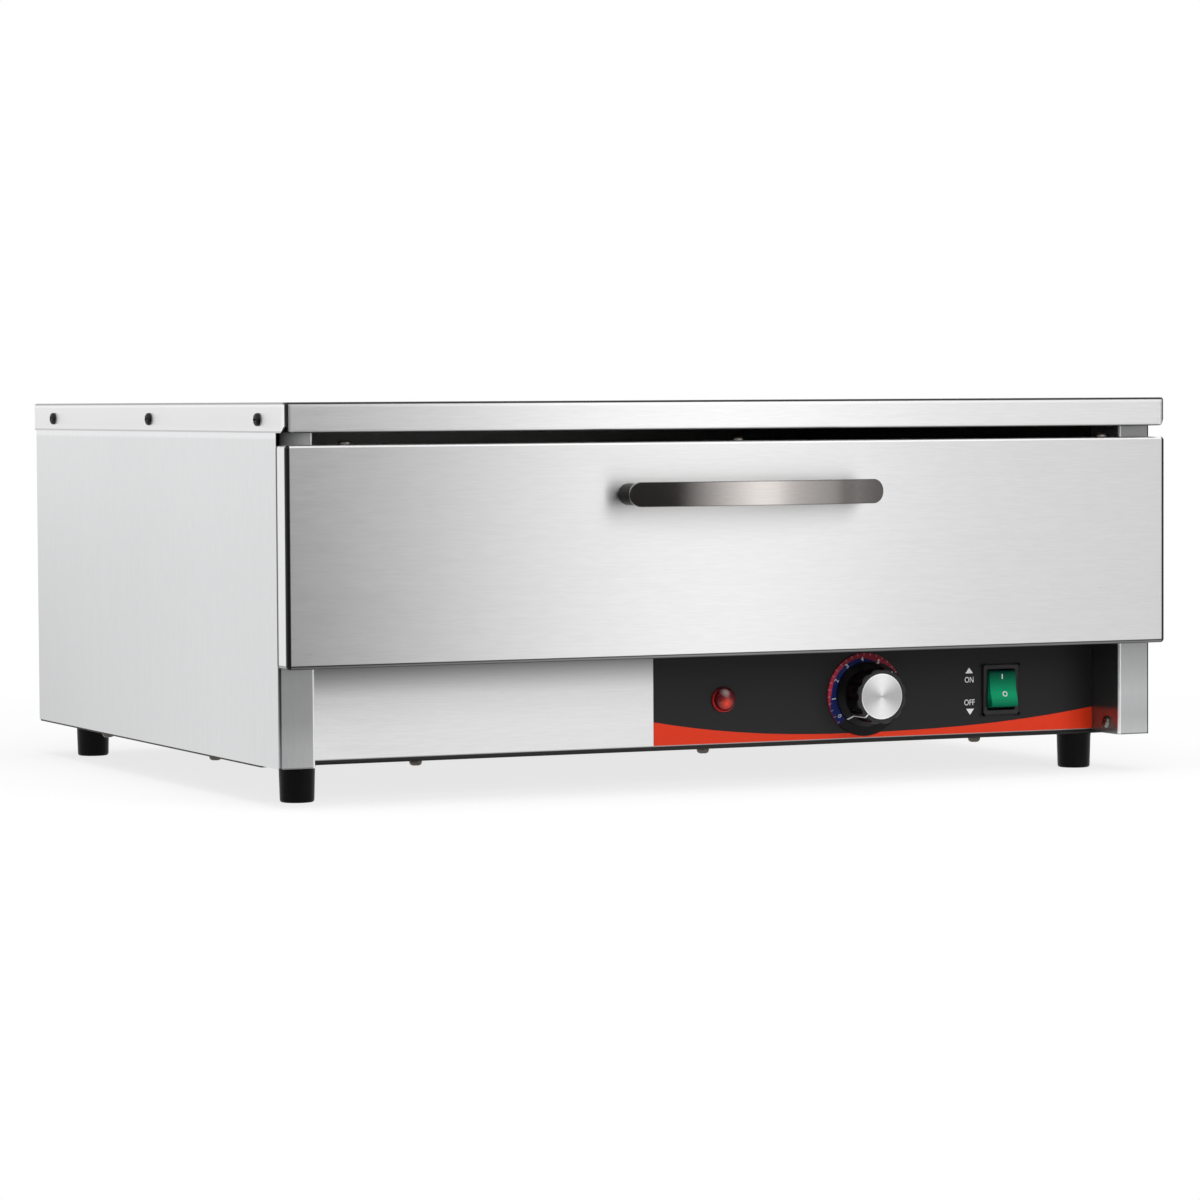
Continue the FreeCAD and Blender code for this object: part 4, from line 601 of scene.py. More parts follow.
front_steel = brushed_steel("front_steel", 0, 0.61, 0.30, front_bends)
front = box_of("drawer_front_pan", front_low, front_high)
bpy.ops.object.mode_set(mode="EDIT")
pick("FACE", lambda face, middle: close(middle.y, front_high.y))
bpy.ops.mesh.delete(type="FACE")
pick("EDGE", lambda edge, middle: runs(edge, 1))
bpy.ops.mesh.bevel(offset=FRONT_CORNER, segments=5, affect="EDGES")
pick("EDGE", lambda edge, middle: close(middle.y, front_low.y))
bpy.ops.mesh.bevel(offset=FRONT_BEND, segments=5, affect="EDGES")
bpy.ops.object.mode_set(mode="OBJECT")
shape_by(front, "SOLIDIFY", thickness=SHEET, offset=-1.0)
level_faces(front)
dress(front, front_steel, "drawer", "casing_steel", "drawer_front")
front_screw_line = middle_of("drawer_front_screws").y
front_seats = [((x, front_screw_line, front_high.z), (0, 0, 1), 30) for x in FRONT_SCREW_PLACES]
set_screws("front_pan_screws", "drawer_front_screws", screw_steel, "bright_screw", "drawer",
           front_seats)


# Handle
# A bowed strip of brushed gunmetal with full-round ends on two black round bosses, screwed from
# inside the pan.

bar_low, bar_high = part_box("handle_bar")
BOW_INNER = 0.32394
BAR_THICK = 0.004
BAR_HALF = (bar_high.z - bar_low.z) / 2
BAR_REACH = bar_high.x
BAR_EDGE = 0.0004
BAR_END = 0.0082
BOW_CENTRE = Vector((0, bar_low.y + BAR_THICK + BOW_INNER, bar_low.z + BAR_HALF))
BOSS_PLACES = (-0.0763, 0.0763)
gunmetal, gun_shader, gun_place = new_finish("handle_gunmetal", {"Metallic": 1.0})
gun_x = gun_place.along("X")
gun_line = gun_place.noise(1, 2, (5, 1800, 1800))
# The strip's tone carries painted light: painted shade along its top and bottom edges and to either
# side of the middle, and a painted highlight near the right end.
gun_edge_painted_shade = abs(gun_place.along("Z") - BOW_CENTRE.z).rise(BAR_HALF - 0.0007, BAR_HALF - 0.0002)
right_painted_shade = 0.52 * gun_x.rise(0.008, 0.05) ** 0.8
end_painted_highlight = 0.44 * gun_x.rise(0.054, 0.0635) - 0.26 * gun_x.rise(0.066, 0.083)
left_painted_shade = 0.18 * gun_x.rise(-0.005, -0.045)
gun_level = (1 + 0.16 * (gun_line - 0.5)) * (1 - 0.6 * gun_edge_painted_shade)
gun_level = gun_level * (1 - right_painted_shade + end_painted_highlight - left_painted_shade)
gun_level.rise(0, 1.1).mix(grey(0), grey(0.61, (1, 0.935, 0.9))).into(gun_shader, "Base Color")
(0.1 + 0.05 * gun_line).into(gun_shader, "Roughness")
gun_line.bump(gun_shader, 0.06, 0.00003)
bar_swing = math.asin(BAR_REACH / (BOW_INNER + BAR_THICK))
end_swing = BAR_END / BOW_INNER
bpy.ops.object.select_all(action="DESELECT")
bpy.ops.mesh.primitive_plane_add(size=1)
bar = bpy.context.object
bar.scale = (BAR_THICK, 2 * BAR_HALF, 1)
only(bar)
bpy.ops.object.transform_apply(scale=True)
bar.matrix_world = (
    Matrix.Translation(BOW_CENTRE) @ Matrix.Rotation(-math.pi / 2 - bar_swing, 4, "Z")
    @ Matrix.Translation((BOW_INNER + BAR_THICK / 2, 0, 0)) @ Matrix.Rotation(math.pi / 2, 4, "X"))
settle(bar, "handle_strip")
bpy.ops.object.mode_set(mode="EDIT")
bpy.ops.mesh.select_all(action="SELECT")
for steps, swing in ((1, end_swing), (40, 2 * bar_swing - 2 * end_swing), (1, end_swing)):
    bpy.ops.mesh.spin(steps=steps, dupli=False, angle=-swing, center=BOW_CENTRE, axis=(0, 0, 1))
bpy.ops.mesh.select_all(action="SELECT")
bpy.ops.mesh.remove_doubles(threshold=1e-6)
bpy.ops.mesh.normals_make_consistent(inside=False)


def bar_corner(edge, middle):
    """Whether an edge runs through the strip's thickness at one of its four corners."""
    on_rim = close(abs(middle.z - BOW_CENTRE.z), BAR_HALF) and abs(middle.x) > BAR_REACH - 0.0012
    return (on_rim and close(edge.verts[0].co.z, edge.verts[1].co.z)
            and edge.calc_length() < 1.1 * BAR_THICK)


pick("EDGE", bar_corner)
bpy.ops.mesh.bevel(offset=BAR_HALF - 0.00005, segments=9, affect="EDGES")
bpy.ops.object.mode_set(mode="OBJECT")
shape_by(bar, "BEVEL", width=BAR_EDGE, segments=2, limit_method="ANGLE",
         angle_limit=math.radians(50))
level_faces(bar)
dress(bar, gunmetal, "drawer", "handle_metal", "handle_bar")
boss_black = moulded("boss_black", grey(0.006), grey(0.012), 0.3, 1500, 0.0001,
                     {"Specular IOR Level": 0.2})
paint(boss_black, "left_handle_boss", "right_handle_boss")
handle_seats = [((x, front_low.y + SHEET, BOW_CENTRE.z), TO_REAR, 20) for x in BOSS_PLACES]
set_screws("handle_pan_screws", "handle_screws", screw_steel, "bright_screw", "drawer", handle_seats)


# Printed overlay and its marks
# A thin charcoal plastic film on the right half of the fascia with an orange-red band along its foot,
# and the white switch marks printed on it.

FILM_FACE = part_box("fascia_overlay")[0].y
DIP_X, DIP_Z = 0.095, 0.0282
LEFT_RUN, LEFT_RISE = 0.134, 0.0115
RIGHT_RUN, RIGHT_RISE = 0.171, 0.0105
film, film_shader, film_place = new_finish("overlay_film", {"Specular IOR Level": 0.12})
film_x = film_place.along("X")
film_z = film_place.along("Z")
from_left = film_x.maths("MAXIMUM", DIP_X - film_x, 0) / LEFT_RUN
from_right = film_x.maths("MAXIMUM", film_x - DIP_X, 0) / RIGHT_RUN
band_top = DIP_Z + LEFT_RISE * from_left ** 2.2 + RIGHT_RISE * from_right ** 2.4
band = (band_top - film_z).rise(-0.00012, 0.00012)
film_grain = film_place.noise(1600, 3)
# The charcoal is darker up under the drawer front: painted shade over the film's own cloudy grain.
film_grain_and_shade = 0.5 * film_grain.rise(0.3, 0.7) + 0.5 * film_z.rise(0.075, 0.03)
charcoal = film_grain_and_shade.mix(grey(0.0102), grey(0.0208, (1, 1, 1.02)))
band.mix(charcoal, (0.78, 0.041, 0.0095, 1)).into(film_shader, "Base Color")
film_grain.bump(film_shader, 0.15, 0.00006)
(0.3 + 0.14 * film_grain).into(film_shader, "Roughness")
paint(film, "fascia_overlay")
INK = 0.00004
ink, ink_shader, ink_place = new_finish("white_ink", {"Roughness": 0.5})
ink_place.noise(2500, 2).rise(0.2, 0.8).mix(grey(0.72), grey(0.84)).into(ink_shader, "Base Color")


def letters(name, words, width, height, at, lean=0):
    """Printed words of a given size on a face that looks to the front, leaning clockwise."""
    bpy.ops.object.select_all(action="DESELECT")
    bpy.ops.object.text_add()
    bpy.context.object.data.body = words
    bpy.context.object.data.extrude = 0.01
    bpy.context.object.data.resolution_u = 3
    bpy.ops.object.convert(target="MESH")
    text = bpy.context.object
    corners = [vertex.co for vertex in text.data.vertices]
    low = Vector([min(corner[i] for corner in corners) for i in range(3)])
    high = Vector([max(corner[i] for corner in corners) for i in range(3)])
    size = high - low
    text.matrix_world = (Matrix.Translation(at) @ Matrix.Rotation(math.radians(lean), 4, "Y")
                         @ Matrix.Rotation(math.pi / 2, 4, "X")
                         @ Matrix.Diagonal((width / size.x, height / size.y, INK / size.z, 1))
                         @ Matrix.Translation(-(low + high) / 2))
    return settle(text, name)


def triangle(name, width, height, at):
    """Printed triangle round its middle, point down if its height is negative."""
    bpy.ops.object.select_all(action="DESELECT")
    bpy.ops.mesh.primitive_cylinder_add(vertices=3, radius=1, depth=1)
    mark = bpy.context.object
    mark.matrix_world = (Matrix.Translation(at) @ Matrix.Rotation(math.pi / 2, 4, "X")
                         @ Matrix.Diagonal((width / math.sqrt(3), height / 1.5, INK, 1)))
    settle(mark, name)
    bpy.ops.object.mode_set(mode="EDIT")
    bpy.ops.mesh.select_all(action="SELECT")
    bpy.ops.mesh.normals_make_consistent(inside=False)
    bpy.ops.object.mode_set(mode="OBJECT")
    return mark


ink_level = FILM_FACE - INK / 2
switch_marks = join([
    letters("on_word", "ON", 0.0061, 0.0037, (0.1788, ink_level, 0.0584)),
    letters("off_word", "OFF", 0.0073, 0.0036, (0.1790, ink_level, 0.0443)),
    triangle("up_mark", 0.0054, 0.0035, (0.1788, ink_level, 0.06355)),
    triangle("down_mark", 0.0056, -0.0038, (0.1794, ink_level, 0.03905)),
], "switch_marks")
dress(switch_marks, ink, "cabinet", "overlay_film")


# Pilot lamp
# A neon lamp moulded in red plastic: a clear red dome let into a rounded bezel. It passes through
# the fascia and is held by a nut behind it.

def from_centre(place, centre):
    """How far across and up a face a point lies from a centre, in millimetres."""
    return (place.along("X") - centre.x) * 1000, (place.along("Z") - centre.z) * 1000


def patch(across, height, x, z, reach):
    """1 at a point of a face, falling to 0 at its reach."""
    return across.maths("SQRT", (across - x) ** 2 + (height - z) ** 2).rise(reach, 0)


TO_FRONT = (0, -1, 0)
LAMP = middle_of("pilot_lamp_body")
LAMP.y = FILM_FACE
lamp_red, lamp_shader, lamp_place = new_finish("lamp_red", {
    "Roughness": 0.16, "Specular IOR Level": 0.3})
lamp_x, lamp_z = from_centre(lamp_place, LAMP)
# The dome's red is painted light: a painted glow low in the dome and a painted highlight near its top.
painted_red_glow = patch(lamp_x, lamp_z, -0.8, -2.2, 4.6).mix((0.12, 0.005, 0.009, 1), (0.86, 0.05, 0.014, 1))
glint = 0.85 * patch(lamp_x, lamp_z, -1.0, 5.0, 3.6) + 0.1 * (lamp_place.noise(450, 2) - 0.5)
glint.mix(painted_red_glow, (0.62, 0.46, 0.46, 1)).into(lamp_shader, "Base Color")
bezel_red, bezel_shader, bezel_place = new_finish("bezel_red", {"Specular IOR Level": 0.3})
bezel_x, bezel_z = from_centre(bezel_place, LAMP)
# The bezel has painted light towards its lower left and painted shade at its top and right.
bezel_painted_light = (-0.6 * bezel_x - 0.8 * bezel_z).rise(-4, 6)
bezel_painted_light.mix((0.07, 0.004, 0.004, 1), (0.55, 0.015, 0.018, 1)).into(bezel_shader, "Base Color")
(0.2 + 0.1 * bezel_place.noise(900, 3)).into(bezel_shader, "Roughness")
lamp_black = moulded("lamp_body_plastic", grey(0.02), grey(0.03), 0.4, 1500, 0.0001, {})
lens = turn("lamp_dome", [
    (0.0044, -0.0035), (0.0044, 0.0014), (0.0064, 0.0014), (0.0067, 0.0018), (0.00655, 0.0028),
    (0.00615, 0.0040), (0.0055, 0.0050), (0.0046, 0.0058), (0.0036, 0.0064), (0.0024, 0.00685),
    (0.0012, 0.0070),
], 64)
smooth(stand(lens, LAMP, TO_FRONT), 60)
dress(lens, lamp_red, "cabinet", "lamp_red", "pilot_lamp_lens")
bezel = turn("lamp_bezel", [
    (0.0057, -0.0219), (0.0057, 0.0), (0.0074, 0.0), (0.0077, 0.0003), (0.0077, 0.0011),
    (0.0075, 0.0016), (0.0071, 0.0018), (0.0069, 0.0016), (0.0068, 0.0012), (0.0046, 0.0012),
    (0.0046, -0.0036),
], 64)
smooth(stand(bezel, LAMP, TO_FRONT))
dress(bezel, bezel_red, "cabinet", "lamp_body", "pilot_lamp_body")
paint(lamp_black, "pilot_lamp_nut")


# Dial plate
# A black disc behind the knob, printed with a blue band, a red crescent, white ticks and the numbers
# from 0 to 8, thirty degrees apart.

def print_edge(part_way, stops):
    """A printed edge's radius in millimetres, through stops of (part of the way round, radius)."""
    largest = 30
    return largest * part_way.ramp([(part, radius / largest) for part, radius in stops])


KNOB = middle_of("knob_body")
KNOB.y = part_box("dial_plate")[0].y
DIAL_RADIUS = 0.0256
PRINT_START = 225
PRINT_SWEEP = 200
FIRST_TICK = 228
TICK_STEP = 10
TICK_HALF_MM = 0.16
TICK_INNER_MM = 24.0
FIRST_NUMBER = 234.5
NUMBER_STEP = 30
NUMBER_RING = 0.0219
NUMBER_HEIGHT = 0.0027
dial_print, dial_shader, dial_place = new_finish("dial_print", {
    "Roughness": 0.3, "Specular IOR Level": 0.1})
dial_x = dial_place.along("X") - KNOB.x
dial_z = dial_place.along("Z") - KNOB.z
dial_r = dial_x.maths("SQRT", dial_x * dial_x + dial_z * dial_z) * 1000
clock = dial_x.maths("ARCTAN2", dial_x, dial_z) * (180 / math.pi)
sweep = clock + 360 * clock.rise(200.01, 200)
part_way = (sweep - PRINT_START) / PRINT_SWEEP
edge_mm = print_edge(part_way, [
    (0.0, 25.6), (0.13, 25.5), (0.24, 23.4), (0.62, 22.6), (0.78, 21), (1.0, 25.2)])
inner_mm = print_edge(part_way, [(0.0, 20.5), (0.05, 19.2), (0.62, 19.4), (0.78, 21), (0.99, 25)])
inside_arc = part_way.rise(-0.005, 0.005) * part_way.rise(0.985, 0.975)
blue = inside_arc * (dial_r - inner_mm).rise(-0.15, 0.15) * (edge_mm - dial_r).rise(-0.15, 0.15)
red = inside_arc * (dial_r - edge_mm).rise(-0.15, 0.15)
print_colour = blue.mix(grey(0.008), (0.003, 0.012, 0.11, 1))
red_ink = dial_x.rise(-0.012, -0.0245).mix((0.22, 0.02, 0.034, 1), (0.48, 0.028, 0.062, 1))
print_colour = red.mix(print_colour, red_ink)
from_tick = sweep.maths("PINGPONG", sweep - FIRST_TICK, TICK_STEP / 2) * dial_r * (math.pi / 180)
tick = (TICK_HALF_MM - from_tick).rise(-0.08, 0.08)
tick = tick * (dial_r - TICK_INNER_MM).rise(-0.1, 0.1) * inside_arc
tick.mix(print_colour, (0.42, 0.3, 0.33, 1)).into(dial_shader, "Base Color")
dial_place.noise(1500, 2).bump(dial_shader, 0.12, 0.00005)
dial = turn("dial_disc", [
    (0.0252, 0.0), (DIAL_RADIUS, 0.0003), (DIAL_RADIUS, 0.0012), (0.02545, 0.0015),
    (0.0252, 0.0016), (0.006, 0.0016),
], 120)
smooth(stand(dial, (KNOB.x, FILM_FACE, KNOB.z), TO_FRONT))
dress(dial, dial_print, "cabinet", "dial_print", "dial_plate")
numbers = []
for number in range(9):
    angle = math.radians(FIRST_NUMBER + NUMBER_STEP * number)
    out = Vector((NUMBER_RING * math.sin(angle), -INK / 2, NUMBER_RING * math.cos(angle)))
    width = 0.0006 if number == 1 else 0.0017
    numbers.append(letters(f"number_{number}", str(number), width, NUMBER_HEIGHT, KNOB + out,
                           math.degrees(angle)))
dial_numbers = join(numbers, "dial_numbers")
dress(dial_numbers, ink, "cabinet", "dial_print")


# Thermostat knob
# A moulded black knob: a sloping skirt, a fluted grip and a spun aluminium disc let into its face. A
# white line runs from the disc down the grip and across the skirt to the dial.

POINTER = math.radians(222)
GRIP_RADIUS = 0.0170
FLUTES = 12
FLUTE_RADIUS = 0.0036
FLUTE_PLACE = (0.0194, 0, 0.0222)
FLUTE_LENGTH = 0.03
knob_black, knob_shader, knob_place = new_finish("knob_black", {"Specular IOR Level": 0.12})
knob_x = knob_place.along("X") - KNOB.x
knob_z = knob_place.along("Z") - KNOB.z
beside = abs(knob_x * math.cos(POINTER) - knob_z * math.sin(POINTER))
ahead = knob_x * math.sin(POINTER) + knob_z * math.cos(POINTER)
line_mask = beside.rise(0.00046, 0.00032) * ahead.rise(0.0139, 0.0141)
# The rim is painted paler all round: a painted highlight on the black.
knob_rim = knob_place.along("Y").rise(KNOB.y - 0.0206, KNOB.y - 0.0212)
knob_black_and_rim_highlight = knob_rim.mix(grey(0.004), grey(0.03))
knob_grain = knob_place.noise(1700, 3)
line_mask.mix(knob_black_and_rim_highlight, grey(0.75)).into(knob_shader, "Base Color")
(0.3 + 0.14 * knob_grain).into(knob_shader, "Roughness")
knob_grain.bump(knob_shader, 0.2, 0.00006)
knob = turn("control_knob", [
    (0.012, 0.0045), (0.012, 0.0005), (0.0197, 0.0005), (0.02, 0.0008), (0.02, 0.0020),
    (0.0197, 0.0024), (0.0175, 0.0057), (GRIP_RADIUS, 0.0062), (GRIP_RADIUS, 0.0207),
    (0.0167, 0.0214), (0.0160, 0.0219), (0.0146, 0.022), (0.0143, 0.0218), (0.0143, 0.0210),
], 144)
bpy.ops.object.select_all(action="DESELECT")
bpy.ops.mesh.primitive_cylinder_add(vertices=32, radius=FLUTE_RADIUS, depth=FLUTE_LENGTH,
                                    location=FLUTE_PLACE)
cutter = settle(bpy.context.object, "flute_cutter")
bpy.ops.object.mode_set(mode="EDIT")
bpy.ops.mesh.select_all(action="SELECT")
bpy.ops.mesh.spin(steps=FLUTES, dupli=True, angle=2 * math.pi, center=(0, 0, 0), axis=(0, 0, 1))
bpy.ops.mesh.select_all(action="SELECT")
bpy.ops.mesh.remove_doubles(threshold=1e-6)
bpy.ops.mesh.normals_make_consistent(inside=False)
bpy.ops.object.mode_set(mode="OBJECT")
cut_by(knob, cutter)
only(knob)
bpy.ops.object.mode_set(mode="EDIT")
bpy.ops.mesh.select_all(action="SELECT")
bpy.ops.mesh.remove_doubles(threshold=1e-5)
bpy.ops.mesh.dissolve_degenerate(threshold=1e-5)
bpy.ops.object.mode_set(mode="OBJECT")
smooth(stand(knob, KNOB, TO_FRONT))
dress(knob, knob_black, "knob", "knob_black", "knob_body")
DISC_RADIUS = 0.0141
DISC_FACE = 0.0219
GROOVES = 22
FIRST_GROOVE = 0.0134
GROOVE_DEPTH = 0.00008
aluminium, alu_shader, alu_place = new_finish("spun_aluminium", {"Metallic": 1.0})
alu_x = alu_place.along("X") - KNOB.x
alu_z = alu_place.along("Z") - KNOB.z
alu_r = alu_x.maths("SQRT", alu_x * alu_x + alu_z * alu_z)
# The disc's tone is a painted highlight: bright above and below the middle in a bow-tie, with faint
# rings, and round the rim.
upright = abs(alu_z) / (alu_r + 0.0002)
ring_line = alu_r.maths("SINE", alu_r * 9000 + 3 * alu_place.noise(120, 2))
sheen = upright ** 2.2 + 0.1 * ring_line + 0.6 * alu_r.rise(0.0133, 0.0136)
sheen.rise(0, 1.5).mix(grey(0.40), grey(1.0)).into(alu_shader, "Base Color")
(0.26 + 0.06 * ring_line).into(alu_shader, "Roughness")
rings = [(DISC_RADIUS, 0.0210), (DISC_RADIUS, 0.0217), (0.0138, DISC_FACE)]
for i in range(GROOVES):
    ring_radius = FIRST_GROOVE - i * FIRST_GROOVE / (GROOVES + 0.5)
    rings.append((ring_radius, DISC_FACE - (GROOVE_DEPTH if i % 2 == 0 else 0.0)))
disc = turn("spun_disc", rings, 96)
smooth(stand(disc, KNOB, TO_FRONT), 60)
dress(disc, aluminium, "knob", "disc_aluminium", "knob_disc")


# Rocker switch
# A snap-in black housing with a raised bezel and a translucent green rocker, tipped to ON, with a
# line and a ring printed on its two ends.

BEZEL_RIM = 0.003
BEZEL_CORNER = 0.0008
BEZEL_EDGE = 0.0005
WELL_DEPTH = 0.011
BARREL_INSET = 0.0016
housing_low, housing_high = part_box("rocker_housing")
housing = box_of("switch_housing", housing_low, (housing_high.x, FILM_FACE, housing_high.z))
bpy.ops.object.mode_set(mode="EDIT")
pick("FACE", lambda face, middle: face.normal.y > 0.9)
bpy.ops.mesh.inset(thickness=BARREL_INSET, depth=0)
bpy.ops.mesh.extrude_region_move(
    TRANSFORM_OT_translate={"value": (0, housing_high.y - FILM_FACE, 0)})
pick("FACE", lambda face, middle: face.normal.y < -0.9)
bpy.ops.mesh.inset(thickness=BEZEL_RIM, depth=0)
bpy.ops.mesh.extrude_region_move(TRANSFORM_OT_translate={"value": (0, WELL_DEPTH, 0)})
pick("EDGE", lambda edge, middle: runs(edge, 1)
     and (close(middle.x, housing_low.x) or close(middle.x, housing_high.x)))
bpy.ops.mesh.bevel(offset=BEZEL_CORNER, segments=4, affect="EDGES")
pick("EDGE", lambda edge, middle: close(middle.y, housing_low.y))
bpy.ops.mesh.bevel(offset=BEZEL_EDGE, segments=3, affect="EDGES")
bpy.ops.object.mode_set(mode="OBJECT")
level_faces(housing)
dress(housing, switch_black, "cabinet", "switch_black", "rocker_housing")
PIVOT_LINE = -0.1776
SWITCH = middle_of("rocker_housing")
SWITCH.y = PIVOT_LINE
TILT = Matrix.Translation(SWITCH) @ Matrix.Rotation(math.radians(-10), 4, "X")
ROCKER_SIDE = 0.0093
ROCKER_END = 0.0115
ROCKER_FACE = -0.0063
ROCKER_BACK = 0.0005
ROCKER_DIP = 0.0013
rocker = box_of("green_rocker", (-ROCKER_SIDE, ROCKER_FACE, -ROCKER_END),
                (ROCKER_SIDE, ROCKER_BACK, ROCKER_END))
bpy.ops.object.mode_set(mode="EDIT")
bpy.ops.mesh.select_all(action="SELECT")
bpy.ops.mesh.bisect(plane_co=(0, 0, 0), plane_no=(0, 0, 1))
pick("VERT", lambda vertex, middle: close(middle.z, 0) and middle.y < 0)
bpy.ops.transform.translate(value=(0, ROCKER_DIP, 0))
pick("EDGE", lambda edge, middle: runs(edge, 0) and middle.y < ROCKER_FACE + 0.0005)
bpy.ops.mesh.bevel(offset=0.0022, segments=5, affect="EDGES")
pick("EDGE", lambda edge, middle: close(abs(middle.x), ROCKER_SIDE) and middle.y < 0.0)
bpy.ops.mesh.bevel(offset=0.0004, segments=2, affect="EDGES")
bpy.ops.object.mode_set(mode="OBJECT")
rocker.matrix_world = TILT
settle(rocker, "green_rocker")
level_faces(rocker)
rocker_green, green_shader, green_place = new_finish("rocker_green", {"Specular IOR Level": 0.03})
green_z = green_place.along("Z") - SWITCH.z
green_cloud = green_place.noise(500, 2)
# The green is painted light: bright across the middle, with painted shade over the top and the lower
# end.
green_painted_light = green_z.rise(0.012, -0.002) * green_z.rise(-0.0135, -0.004)
green_light_and_cloud = green_painted_light + 0.06 * (green_cloud - 0.5)
green_light_and_cloud.mix((0.001, 0.03, 0.024, 1), (0.0, 0.32, 0.138, 1)).into(green_shader, "Base Color")
(0.22 + 0.1 * green_cloud).into(green_shader, "Roughness")
dress(rocker, rocker_green, "rocker", "rocker_green", "rocker_button")
SLOPE = math.atan2(ROCKER_DIP, ROCKER_END)
LINE_PLACE = Vector((-0.0004, -0.00583, 0.0073))
LINE_HALF = Vector((0.00035, INK, 0.0015))
RING_PLACE = Vector((0.0008, -0.00541, -0.0036))
on_line = box_of("rocker_line", -LINE_HALF, LINE_HALF)
on_line.matrix_world = TILT @ Matrix.Translation(LINE_PLACE) @ Matrix.Rotation(SLOPE, 4, "X")
settle(on_line, "rocker_line")
bpy.ops.object.select_all(action="DESELECT")
bpy.ops.mesh.primitive_torus_add(major_radius=0.0014, minor_radius=0.0003, major_segments=32,
                                 minor_segments=6)
off_ring = bpy.context.object
off_ring.matrix_world = (TILT @ Matrix.Translation(RING_PLACE)
                         @ Matrix.Rotation(math.pi / 2 - SLOPE, 4, "X")
                         @ Matrix.Diagonal((1, 1, 0.15, 1)))
settle(off_ring, "rocker_ring")
rocker_marks = join([on_line, off_ring], "rocker_marks")
dress(rocker_marks, ink, "rocker", "rocker_green")


# Top cap and its screws
# A shallow upside-down tray of brushed stainless sheet, with a lip turned back under its front,
# screwed through its side skirts with dark pan-head screws.

CAP_CORNER = 0.0027
CAP_BEND = 0.0017
CAP_ROUND = 0.0036
ROUND_RUN = 0.002
LIP = 0.013
LIP_SHARE = 0.985
SKIRT_START = 0.008
CAP_SCREW_LINES = (-0.1827, 0.0133, 0.2093)
cap_low, cap_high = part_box("top_cap")


def cap_bends(place):
    """Painted shade and reflection in the bends and along the foot, with painted highlights."""
    behind = place.along("Y") - cap_low.y
    below = cap_high.z - place.along("Z")
    height = place.along("Z") - cap_low.z
    # Painted dark reflections in the top bend and corners, painted shade along the foot, and painted
    # highlights under the top bend and on the side skirts.
    corner = at_bend(place, cap_low - TALL, cap_high + TALL, 0.0024)
    dark = (corner + at_bend(place, cap_low - TALL, cap_high, 0.0016)).rise(0, 1)
    dark = dark * (0.5 + 0.5 * behind.rise(0.006, 0.004))
    under_bend = below.rise(0.0030, 0.0025) * below.rise(0.0012, 0.0016)
    skirt_foot = height.rise(0.0012, 0.0008) * behind.rise(0.004, 0.006)
    front_foot = height.rise(0.0010, 0.0006) * behind.rise(0.003, 0.002)
    side = abs(place.along("X")).rise(cap_high.x - 0.0004, cap_high.x - 0.0002)
    lines = 0.75 * front_foot - 0.14 * under_bend + 0.5 * skirt_foot - 0.3 * side
    return 0.93 * dark + lines * (1 - dark)


cap_steel = brushed_steel("cap_steel", 0, 0.68, 0.30, cap_bends)
cap = box_of("cap_tray", cap_low, cap_high)
bpy.ops.object.mode_set(mode="EDIT")
pick("FACE", lambda face, middle: close(middle.z, cap_low.z))
bpy.ops.mesh.delete(type="FACE")
pick("EDGE", lambda edge, middle: runs(edge, 2))
bpy.ops.mesh.bevel(offset=CAP_CORNER, segments=5, affect="EDGES")
pick("EDGE", lambda edge, middle: close(middle.z, cap_high.z))
bpy.ops.mesh.bevel(offset=CAP_BEND, segments=5, affect="EDGES")
bpy.ops.mesh.select_all(action="SELECT")
bpy.ops.mesh.bisect(plane_co=(0, cap_low.y + SKIRT_START, 0), plane_no=(0, 1, 0))
flat_end = cap_high.x - CAP_CORNER - ROUND_RUN
for x in (flat_end, flat_end + ROUND_RUN / 2):
    for side in (-1, 1):
        bpy.ops.mesh.select_all(action="SELECT")
        bpy.ops.mesh.bisect(plane_co=(side * x, 0, 0), plane_no=(1, 0, 0))
columns = [(flat_end + ROUND_RUN / 2, ROUND_RUN / 2), (flat_end + ROUND_RUN, ROUND_RUN)]
for part in range(1, 6):
    angle = math.radians(18 * part)
    columns.append((cap_high.x - CAP_CORNER * (1 - math.sin(angle)), ROUND_RUN + CAP_CORNER * angle))
for column, reach in columns:
    lift = CAP_ROUND - math.sqrt(max(CAP_ROUND ** 2 - reach ** 2, 0))
    pick("VERT", lambda vertex, middle: close(abs(middle.x), column) and close(middle.z, cap_low.z)
         and middle.y < cap_low.y + CAP_CORNER + 1e-5)
    bpy.ops.transform.translate(value=(0, 0, lift))


def front_foot_edge(edge, middle):
    """Whether an edge lies along the foot of the cap's front."""
    return close(middle.z, cap_low.z) and close(middle.y, cap_low.y)


pick("EDGE", front_foot_edge)
bpy.ops.mesh.extrude_region_move(TRANSFORM_OT_translate={"value": (0, LIP, 0)})
bpy.ops.transform.resize(value=(LIP_SHARE, 1, 1), center_override=(0, 0, 0))
pick("EDGE", front_foot_edge)
bpy.ops.mesh.bevel(offset=CAP_BEND, segments=4, affect="EDGES")
bpy.ops.object.mode_set(mode="OBJECT")
shape_by(cap, "SOLIDIFY", thickness=SHEET, offset=-1.0)
level_faces(cap)
